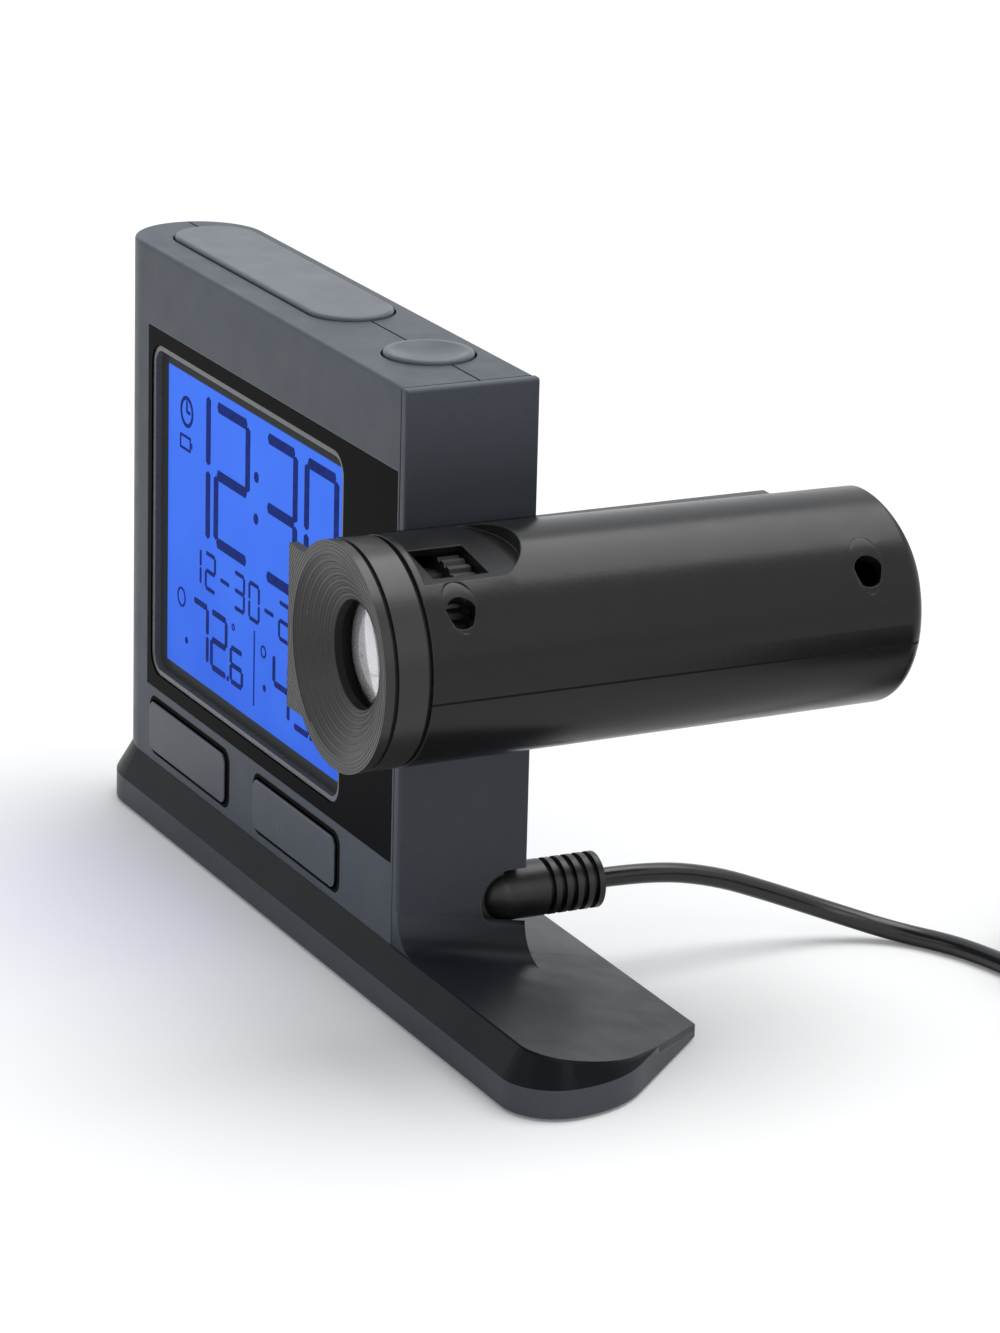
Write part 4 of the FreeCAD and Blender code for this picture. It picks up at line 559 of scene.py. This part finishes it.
def well_collar(name, along, trim=0):
    """A collar round one well, along mm behind the lens face; trim shortens its upper end.

    The profile is given as (share of the way from hole to rim, height over the arm in mm)."""
    radius = arm_front_radius - arm_taper * along
    upper, lower = (math.asin((well_x + side * well_radius - arm_axis_x) / radius) for side in (-1, 1))
    half_height = (lower - upper) * radius / 2 + rim_over_end
    ring = bmesh.new()
    corners = [ring.verts.new((1 + share, 0, height)) for share, height in collar_profile]
    edges = [ring.edges.new(pair) for pair in zip(corners, corners[1:] + corners[:1])]
    bmesh.ops.spin(ring, geom=corners + edges, cent=(0, 0, 0), axis=(0, 0, 1), angle=math.tau,
                   steps=spin_steps, use_merge=True)
    for corner in ring.verts:
        share = Vector(corner.co.xy).length - 1
        turn = math.atan2(corner.co.y, corner.co.x)
        hole = Vector((well_drop + well_radius * math.cos(turn), well_radius * math.sin(turn)))
        end = half_height if math.cos(turn) > 0 else half_height - trim
        rim = Vector((end * math.cos(turn), (well_radius + rim_over_side) * math.sin(turn)))
        around, behind = hole.lerp(rim, share)
        angle = (upper + lower) / 2 + around / radius
        reach = radius + collar_rise + corner.co.z
        corner.co = (arm_axis_x + reach * math.sin(angle), arm_front_y + along + behind,
                     arm_axis_z + reach * math.cos(angle))
    return make_piece(ring, name, "arm", arm_plastic, hard_edge)


collars = [well_collar("front_well_collar", 12.4, 0.75), well_collar("rear_well_collar", 75.6)]
print("collar faces:", [len(c.data.polygons) for c in collars])

# %% [markdown]
# The flat pane round the display looks like gloss black acrylic. It could be a mirror, but real acrylic
# is a touch wavy and carries hairline wipe marks, so a stretched noise lifts the roughness a little.
# Its reflection is kept weak, as on a coated pane, and it stays deep black as in the photograph.

# %% Black pane and the thin frame line
coated_shine = 0.012
black_pane, tree, shader, place = new_finish("black_pane")
stretched = add(tree, "Mapping", {"Vector": place, "Scale": (1.0, 1.0, 0.06)}).outputs["Vector"]
dust = ranged(tree, noise(tree, place, 60, 4), 0, 1)
feed_all(tree, shader, {"Base Color": mixed(tree, dust, (0.0020, 0.0020, 0.0023), (0.0032, 0.0032, 0.0035)),
                        "Roughness": ranged(tree, noise(tree, stretched, 900, 3), 0.07, 0.14),
                        "Specular IOR Level": coated_shine,
                        "Normal": bumped(tree, noise(tree, place, 45, 1), 0.02, 0.5)})
frame_grey = moulded_plastic("display_frame_plastic", (0.115, 0.124, 0.130), 0.28, depth=0.03, edge=0.2,
                             edge_wear_and_highlight=1.8)
paint(black_pane, "display_window")
paint(frame_grey, "lcd_frame")
print("pane and frame painted")

# %% [markdown]
# The display is a liquid crystal cell over a blue backlight. Its glass glows evenly inside a black
# border, a shade lighter towards the top where the light guide is brightest. The border could be its
# own piece, but on such cells it is printed inside the glass, so masks on Object coordinates paint
# it: black outside the lit rectangle, glowing blue inside.

# %% Lit glass
lit_left, lit_right, lit_low, lit_high, lit_fade = -57.85, 7.15, 26.65, 74.45, 0.1
glow_low, glow_high, glow_cloud = (0.034, 0.135, 0.78), (0.052, 0.178, 0.90), (0.062, 0.20, 0.92)
lit_display, tree, shader, place = new_finish("lit_display")
inside = [step_mask(tree, place, "X", lit_left - lit_fade, lit_left + lit_fade),
          step_mask(tree, place, "X", lit_right + lit_fade, lit_right - lit_fade),
          step_mask(tree, place, "Z", lit_low - lit_fade, lit_low + lit_fade),
          step_mask(tree, place, "Z", lit_high + lit_fade, lit_high - lit_fade)]
window = inside[0]
for side in inside[1:]:
    window = maths(tree, "MULTIPLY", window, side)
glow = mixed(tree, step_mask(tree, place, "Z", lit_low, lit_high), glow_low, glow_high)
cloudy = mixed(tree, ranged(tree, noise(tree, place, 60, 2), 0, 0.5), glow, glow_cloud)
shown = mixed(tree, window, (0.028, 0.031, 0.033), cloudy)
feed_all(tree, shader, {"Base Color": shown, "Emission Color": shown, "Emission Strength": 0.35,
                        "Roughness": ranged(tree, noise(tree, place, 300, 2), 0.16, 0.22),
                        "Specular IOR Level": coated_shine})
paint(lit_display, "lcd_glass")
print("lit area in mm:", round(lit_right - lit_left, 1), "x", round(lit_high - lit_low, 1))

# %% [markdown]
# The figures on the display are dark shapes inside the crystal, a hair in front of the light. They could
# be painted by nodes, but dozens of bars make a slow mask, so each is a thin flat piece just in front of
# the glass. A bar is a six-sided disc pulled apart in the middle, which gives the pointed ends that
# seven-bar figures have. Dots and rings are discs and pairs of circles.

# %% Flat shapes
def stand(sheet, made, x, z, turn=0):
    """Turns new flat points upright, facing the front, and moves them to (x, z) in mm."""
    upright = Matrix.Rotation(math.radians(90), 4, "X") @ Matrix.Rotation(turn, 4, "Z")
    bmesh.ops.transform(sheet, verts=made, matrix=Matrix.Translation((x, 0, z)) @ upright)


def flat_bar(sheet, start, end, thickness):
    """One pointed bar between two (x, z) places in mm."""
    a, b = Vector(start), Vector(end)
    run, middle = (b - a).length, (a + b) / 2
    radius = thickness / math.sqrt(3)
    made = bmesh.ops.create_circle(sheet, cap_ends=True, segments=6, radius=radius)["verts"]
    bmesh.ops.rotate(sheet, verts=made, cent=(0, 0, 0), matrix=Matrix.Rotation(math.radians(30), 3, "Z"))
    tips = [v for v in made if v.co.x > 0]
    bmesh.ops.translate(sheet, verts=tips, vec=(run / 2 - radius, 0, 0))
    tails = [v for v in made if v.co.x < 0]
    bmesh.ops.translate(sheet, verts=tails, vec=(radius - run / 2, 0, 0))
    stand(sheet, made, middle.x, middle.y, math.atan2(b.y - a.y, b.x - a.x))


def flat_dot(sheet, x, z, radius, sides=20):
    made = bmesh.ops.create_circle(sheet, cap_ends=True, segments=sides, radius=radius)["verts"]
    stand(sheet, made, x, z)


def flat_ring(sheet, x, z, radius, thickness, sides=28):
    made = []
    for reach in (radius, radius - thickness):
        made += bmesh.ops.create_circle(sheet, segments=sides, radius=reach)["verts"]
    circles = list({edge for corner in made for edge in corner.link_edges})
    bmesh.ops.bridge_loops(sheet, edges=circles)
    stand(sheet, made, x, z)


print("flat shapes ready")

# %% [markdown]
# A figure is up to seven bars, named a to g from the top bar round to the middle one. A font could draw
# the figures, but real display cells have these bars, and a table of which bars each sign lights is
# short. The ends are drawn in by a small gap, so that neighbouring bars don't touch.

# %% Seven-bar figures
lit_bars = {"0": "abcdef", "1": "bc", "2": "abged", "3": "abgcd", "4": "fgbc", "5": "afgcd",
            "6": "afgedc", "7": "abc", "8": "abcdefg", "9": "abcdfg", "-": "g"}
bar_gap = 0.16


def digit(sheet, figure, left, right, low, high, thickness):
    """A seven-bar figure that fills a box given in mm."""
    t = thickness / 2
    x0, x1, z0, z1, zm = left + t, right - t, low + t, high - t, (low + high) / 2
    ends = {"a": ((x0, z1), (x1, z1)), "b": ((x1, zm), (x1, z1)), "c": ((x1, z0), (x1, zm)),
            "d": ((x0, z0), (x1, z0)), "e": ((x0, z0), (x0, zm)), "f": ((x0, zm), (x0, z1)),
            "g": ((x0, zm), (x1, zm))}
    for bar in lit_bars[figure]:
        a, b = Vector(ends[bar][0]), Vector(ends[bar][1])
        inward = (b - a).normalized() * thickness * bar_gap
        flat_bar(sheet, a + inward, b - inward, thickness)


print("signs that a digit can show:", "".join(lit_bars))

# %% [markdown]
# The dark crystal lets a little of the backlight through, so its colour is almost black blue and it
# glows very faintly. It could be plain black, but then the figures would look like holes in the glass.

# %% Ink of the figures
glass_front, ink_depth = -14.5, 0.06
display_ink, tree, shader, place = new_finish("display_ink")
cloud = ranged(tree, noise(tree, place, 700, 2), 0, 1)
tone = mixed(tree, cloud, (0.003, 0.014, 0.13), (0.005, 0.022, 0.20))
feed_all(tree, shader, {"Base Color": tone, "Emission Color": tone, "Emission Strength": 0.3,
                        "Roughness": 0.25, "Specular IOR Level": coated_shine})


def lay_on_glass(sheet, name):
    """Gives the flat shapes their thickness, puts them on the glass and makes the piece."""
    grown = bmesh.ops.extrude_face_region(sheet, geom=list(sheet.faces))["geom"]
    front = [v for v in grown if isinstance(v, bmesh.types.BMVert)]
    bmesh.ops.translate(sheet, verts=front, vec=(0, -ink_depth, 0))
    bmesh.ops.translate(sheet, verts=sheet.verts, vec=(0, glass_front, 0))
    return make_piece(sheet, name, "case", display_ink)


print("ink is", ink_depth, "mm thick")

# %% [markdown]
# The time is the largest row, in tall figures with wide strokes. Its first figure could be a full digit
# like the others, but such cells give it only a pair of bars, so it is made as two bars.

# %% The time
time_low, time_high, time_stroke = 50.0, 73.0, 1.65
hour_bar_x, colon_x, colon_radius = -42.1, -23.75, 0.85
figures = bmesh.new()
for figure, left, right in (("2", -39.8, -26.2), ("3", -20.7, -8.6), ("0", -6.1, 6.1)):
    digit(figures, figure, left, right, time_low, time_high, time_stroke)
for low, high in ((62.1, 72.9), (50.4, 61.2)):
    flat_bar(figures, (hour_bar_x, low), (hour_bar_x, high), time_stroke)
for height in (65.0, 58.5):
    flat_dot(figures, colon_x, height, colon_radius)
big_time = lay_on_glass(figures, "display_time")
print("faces of the time:", len(big_time.data.polygons))

# %% [markdown]
# Below the time stand a date and two temperatures, with a plain line between them. They could be
# separate pieces, but on the cell they are one printed layer, so they share one mesh with the signs.

# %% The small figures
date_left, date_step, date_width, date_low, date_high, date_stroke = -48.6, 5.6, 4.2, 42.2, 48.4, 0.62
row_low, row_high, row_stroke, tenth_high, tenth_stroke = 30.0, 39.8, 0.95, 36.2, 0.8
divider_x, divider_low, divider_high, divider_stroke = -23.85, 29.0, 41.0, 0.34
small = bmesh.new()
for number, figure in enumerate("12-30-24"):
    left = date_left + number * date_step
    digit(small, figure, left, left + date_width, date_low, date_high, date_stroke)
for figure, left, right in (("7", -47.8, -41.4), ("2", -40.7, -34.1), ("4", -16.9, -10.5),
                            ("5", -9.4, -3.0)):
    digit(small, figure, left, right, row_low, row_high, row_stroke)
for figure, left, right in (("6", -33.1, -28.0), ("0", -1.9, 3.2)):
    digit(small, figure, left, right, row_low, tenth_high, tenth_stroke)
for x, z, radius in ((-33.8, 30.4, 0.42), (-2.6, 30.4, 0.42), (-50.1, 31.8, 0.55), (-19.9, 33.0, 0.55)):
    flat_dot(small, x, z, radius, 12)
flat_bar(small, (divider_x, divider_low), (divider_x, divider_high), divider_stroke)
print("faces of the rows, still flat:", len(small.faces))

# %% [markdown]
# The signs come after the rows: a clock face of a ring and two hands, a battery outline of five bars,
# and the little rings beside the numbers. They could be a font's symbols, but at this size a few bars
# and rings read the same and stay clean.

# %% Signs and little rings
clock_x, clock_z, clock_radius, clock_stroke, hand_stroke = -50.6, 68.4, 2.5, 0.6, 0.5
hand_overlap, battery_stroke = 0.2, 0.4
flat_ring(small, clock_x, clock_z, clock_radius, clock_stroke)
flat_bar(small, (clock_x, clock_z - hand_overlap), (clock_x, 70.2), hand_stroke)
flat_bar(small, (clock_x, clock_z), (-49.2, clock_z), hand_stroke)
for start, end in (((-53.0, 62.4), (-49.2, 62.4)), ((-53.0, 64.4), (-49.2, 64.4)),
                   ((-53.0, 62.2), (-53.0, 64.6)), ((-49.2, 62.2), (-49.2, 64.6)),
                   ((-48.6, 62.9), (-48.6, 63.9))):
    flat_bar(small, start, end, battery_stroke)
for x, z, radius, stroke, sides in ((-52.2, 38.3, 1.6, 0.35, 28), (-31.9, 39.2, 0.55, 0.25, 16),
                                    (-20.4, 38.6, 1.0, 0.3, 20)):
    flat_ring(small, x, z, radius, stroke, sides)
small_figures = lay_on_glass(small, "display_small_figures")
print("faces of the small figures:", len(small_figures.data.polygons))

# %% [markdown]
# Clear plastic lenses: the projection lens at the mouth of the arm, the condenser inside it and the
# little dome of the lamp. Each could be a glass shader, but the same shader as everywhere, with its
# transmission turned up, keeps them in the family. The index is a plain number on the socket, and only
# the roughness carries a faint noise, as a moulded lens is never perfect.

# %% Clear parts
def clear_plastic(name, tint, index, clear=1.0):
    finish, tree, shader, place = new_finish(name)
    feed_all(tree, shader, {"Base Color": tint, "Transmission Weight": clear, "IOR": index,
                            "Roughness": ranged(tree, noise(tree, place, 240, 2), 0.0, 0.03)})
    return finish


# Painted reflection: the front lens lets only part of the light through, and the rest shows its pale tint
# as a matt colour that stands for the bright lights mirrored in the lens.
paint(clear_plastic("front_lens", (0.93, 0.93, 0.95), 1.60, 0.86), "projection_lens")
paint(clear_plastic("clear_lens", (0.97, 0.98, 0.99), 1.49), "condenser_lens")
paint(clear_plastic("lamp_dome", (1.0, 0.25, 0.20), 1.52), "led")
print("lenses painted")

# %% [markdown]
# The inside of the arm can't be seen in the photograph, so it is built as such projectors usually are:
# between the lamp and the lens sits a small dark film whose clear parts are thrown on the wall. It could
# carry real figures, but nobody can look that far into the arm, so soft bands stand for the rows.

# %% Film in the arm
projected_film, tree, shader, place = new_finish("projected_film")
rows = add(tree, "TexWave", {"Vector": place, "Scale": 180.0, "Distortion": 2.0}, wave_type="BANDS",
           bands_direction="Z").outputs["Fac"]
feed_all(tree, shader, {"Base Color": mixed(tree, rows, (0.01, 0.01, 0.012), (0.10, 0.03, 0.03)),
                        "Roughness": 0.12})
paint(projected_film, "image_plate")
print("film painted")

# %% [markdown]
# Rubber and vinyl are matt and carry coarse specks, and a little of the gloss wanders. They could share
# the plastics' function, but they have no worn edges and no texture from a mould. The focus wheel is the
# darkest, the plug a little glossier, and the cord's jacket is smooth enough for one long highlight.

# %% Rubber and vinyl
def rubber(name, colour, grain, depth=0.3, gloss=0.62, mottle=0.28):
    finish, tree, shader, place = new_finish(name)
    fine = noise(tree, place, grain, 4, 0.65)
    haze = noise(tree, place, 260, 3)
    tone = mixed(tree, fine, shade(colour, 1 - mottle), shade(colour, 1 + mottle))
    feed_all(tree, shader, {"Base Color": tone,
                            "Roughness": ranged(tree, haze, gloss * 0.85, gloss * 1.15),
                            "Normal": bumped(tree, fine, depth, 0.2)})
    return finish


paint(rubber("pad_rubber", (0.022, 0.022, 0.023), 1400), "foot_pads")
paint(rubber("wheel_rubber", (0.008, 0.008, 0.008), 1900, 0.15, 0.62), "focus_wheel")
paint(rubber("plug_vinyl", (0.009, 0.009, 0.010), 900, 0.10, 0.40), "dc_plug")
paint(rubber("ferrite", (0.035, 0.034, 0.034), 700, 0.25, 0.55), "antenna_rod")
cord_curve.materials.append(rubber("cord_vinyl", (0.009, 0.009, 0.010), 1200, 0.012, 0.24, 0.10))
print("rubber and vinyl painted")

# %% [markdown]
# The metal parts are screws, battery contacts, the pivot, the blades and the aerial's winding. They are
# small and half hidden, but a plain mirror would still look wrong, so a stretched noise gives each the
# lines of its drawing or stamping. Steel stays even, brass is drawn along the blade, and the copper is
# banded across, like wire laid side by side.

# %% Metals
def metal(name, colour, gloss, stretch=(1, 1, 1)):
    finish, tree, shader, place = new_finish(name)
    drawn = add(tree, "Mapping", {"Vector": place, "Scale": stretch}).outputs["Vector"]
    lines = noise(tree, drawn, 2600, 3)
    feed_all(tree, shader, {"Base Color": mixed(tree, lines, shade(colour, 0.82), colour),
                            "Roughness": ranged(tree, lines, gloss * 0.7, gloss * 1.3), "Metallic": 1.0})
    return finish


paint(metal("plated_steel", (0.62, 0.62, 0.60), 0.26), "base_screws", "case_screws", "arm_screws",
      "battery_contacts", "battery_springs", "pivot_nut", "pivot_shaft", "friction_washer", "dc_plug_tip")
paint(metal("blade_brass", (0.80, 0.66, 0.36), 0.22, (0.05, 1, 1)), "adapter_blades")
paint(metal("winding_copper", (0.72, 0.30, 0.16), 0.30, (6, 0.1, 1)), "antenna_winding")
print("metals painted")

# %% [markdown]
# The boards can't be seen in the photograph, so they get the usual green lacquer over copper tracks,
# which show as lighter lines. The tracks could be drawn one by one, but the boards lie inside the case,
# so the edges of a cell pattern stand for them. The batteries, which show when their cover is open, get
# a dark printed wrap with a plain band near one end.

# %% Boards and battery wrap
circuit_board, tree, shader, place = new_finish("circuit_board")
tracks = add(tree, "TexVoronoi", {"Vector": place, "Scale": 420.0}, feature="DISTANCE_TO_EDGE")
line = ranged(tree, tracks.outputs["Distance"], 1, 0, 0.02, 0.07)
feed_all(tree, shader, {"Base Color": mixed(tree, line, (0.010, 0.055, 0.022), (0.030, 0.130, 0.050)),
                        "Roughness": 0.3, "Coat Weight": 0.4})
paint(circuit_board, "main_board", "led_board")

band_start, band_fade = -14.0, 0.1
battery_wrap, tree, shader, place = new_finish("battery_wrap")
band = step_mask(tree, place, "X", band_start - band_fade, band_start + band_fade)
feed_all(tree, shader, {"Base Color": mixed(tree, band, (0.02, 0.03, 0.05), (0.45, 0.33, 0.10)),
                        "Roughness": ranged(tree, noise(tree, place, 500, 3), 0.22, 0.34),
                        "Metallic": 0.3})
paint(battery_wrap, "battery_cells")
print("nodes without a finish:", [name for name, node in cad.items() if not node.data.materials])

# %% [markdown]
# The set is a pale floor and plain soft light. The floor is a wide sheet with a bright matt finish, so
# the picture's ground stays pale and still takes the clock's soft shadow. It could be lit until it is
# white, but then the clock's own colours would come out too light. So the light stays plain, and the
# camera alone sees the paper a little lighter than it is, most of all far out where the lamps fade.

# %% Floor
near, far, glow_near, glow_far = 0.6, 3.0, 0.12, 0.58
floor_reach = 6
floor_sheet = bmesh.new()
bmesh.ops.create_grid(floor_sheet, x_segments=1, y_segments=1, size=floor_reach)
floor_mesh = bpy.data.meshes.new("floor")
floor_sheet.to_mesh(floor_mesh)
floor_sheet.free()
floor = show("floor", floor_mesh)
floor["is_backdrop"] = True
floor_paper, tree, shader, place = new_finish("floor_paper")
distance = vector_maths(tree, "LENGTH", place)
seen = add(tree, "LightPath").outputs["Is Camera Ray"]
paper_glow = maths(tree, "MULTIPLY", ranged(tree, distance, glow_near, glow_far, near, far), seen)
tone = mixed(tree, noise(tree, place, 3, 2), (0.93, 0.93, 0.93), (0.96, 0.96, 0.96))
feed_all(tree, shader, {"Base Color": tone, "Roughness": 0.9, "Specular IOR Level": 0.1,
                        "Emission Color": (1, 1, 1), "Emission Strength": paper_glow})
floor_mesh.materials.append(floor_paper)
print("floor is", 2 * max(v.co.x for v in floor_mesh.vertices), "m wide")

# %% [markdown]
# A dome of even light does about half of the work and three soft lamps the rest, so that colours come
# out about as written. The dome could light everything alone, but soft lamps from above, from the side
# and from the front give the edges and the round arm their highlights. The dome is seen, and mirrored,
# at a strength of 1, which is the white of the background.

# %% Light
dome_strength = 0.45
world = bpy.data.worlds.new("studio")
bpy.context.scene.world = world
world.use_nodes = True
tree = world.node_tree
rays = add(tree, "LightPath").outputs
seen = maths(tree, "MAXIMUM", rays["Is Camera Ray"], rays["Is Glossy Ray"])
seen = maths(tree, "MAXIMUM", seen, rays["Is Transmission Ray"])
feed_all(tree, tree.nodes["Background"], {"Color": (0.96, 0.98, 1.0),
                                          "Strength": ranged(tree, seen, dome_strength, 1, 0, 1)})


def soft_lamp(name, place, aim, width, height, power):
    """A rectangular soft lamp that looks at a point."""
    data = bpy.data.lights.new(name, "AREA")
    data.shape = "RECTANGLE"
    data.size = width
    data.size_y = height
    data.energy = power
    way = Vector(aim) - Vector(place)
    turn = way.to_track_quat("-Z", "Y").to_matrix().to_4x4()
    show(name, data).matrix_world = Matrix.Translation(place) @ turn


soft_lamp("top_lamp", (-0.20, 0.80, 2.6), (0.03, 0, 0.05), 2.4, 2.2, 52.0)
soft_lamp("side_lamp", (1.3, 0.25, 0.70), (0.03, 0, 0.06), 0.35, 0.9, 1.8)
soft_lamp("front_lamp", (0.1, -1.4, 0.60), (0.0, 0, 0.05), 0.8, 0.6, 0.7)
bpy.context.scene.view_settings.view_transform = "Standard"

# %% Size of the whole model
low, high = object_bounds()
print("visual box in mm:", in_mm(low), in_mm(high))
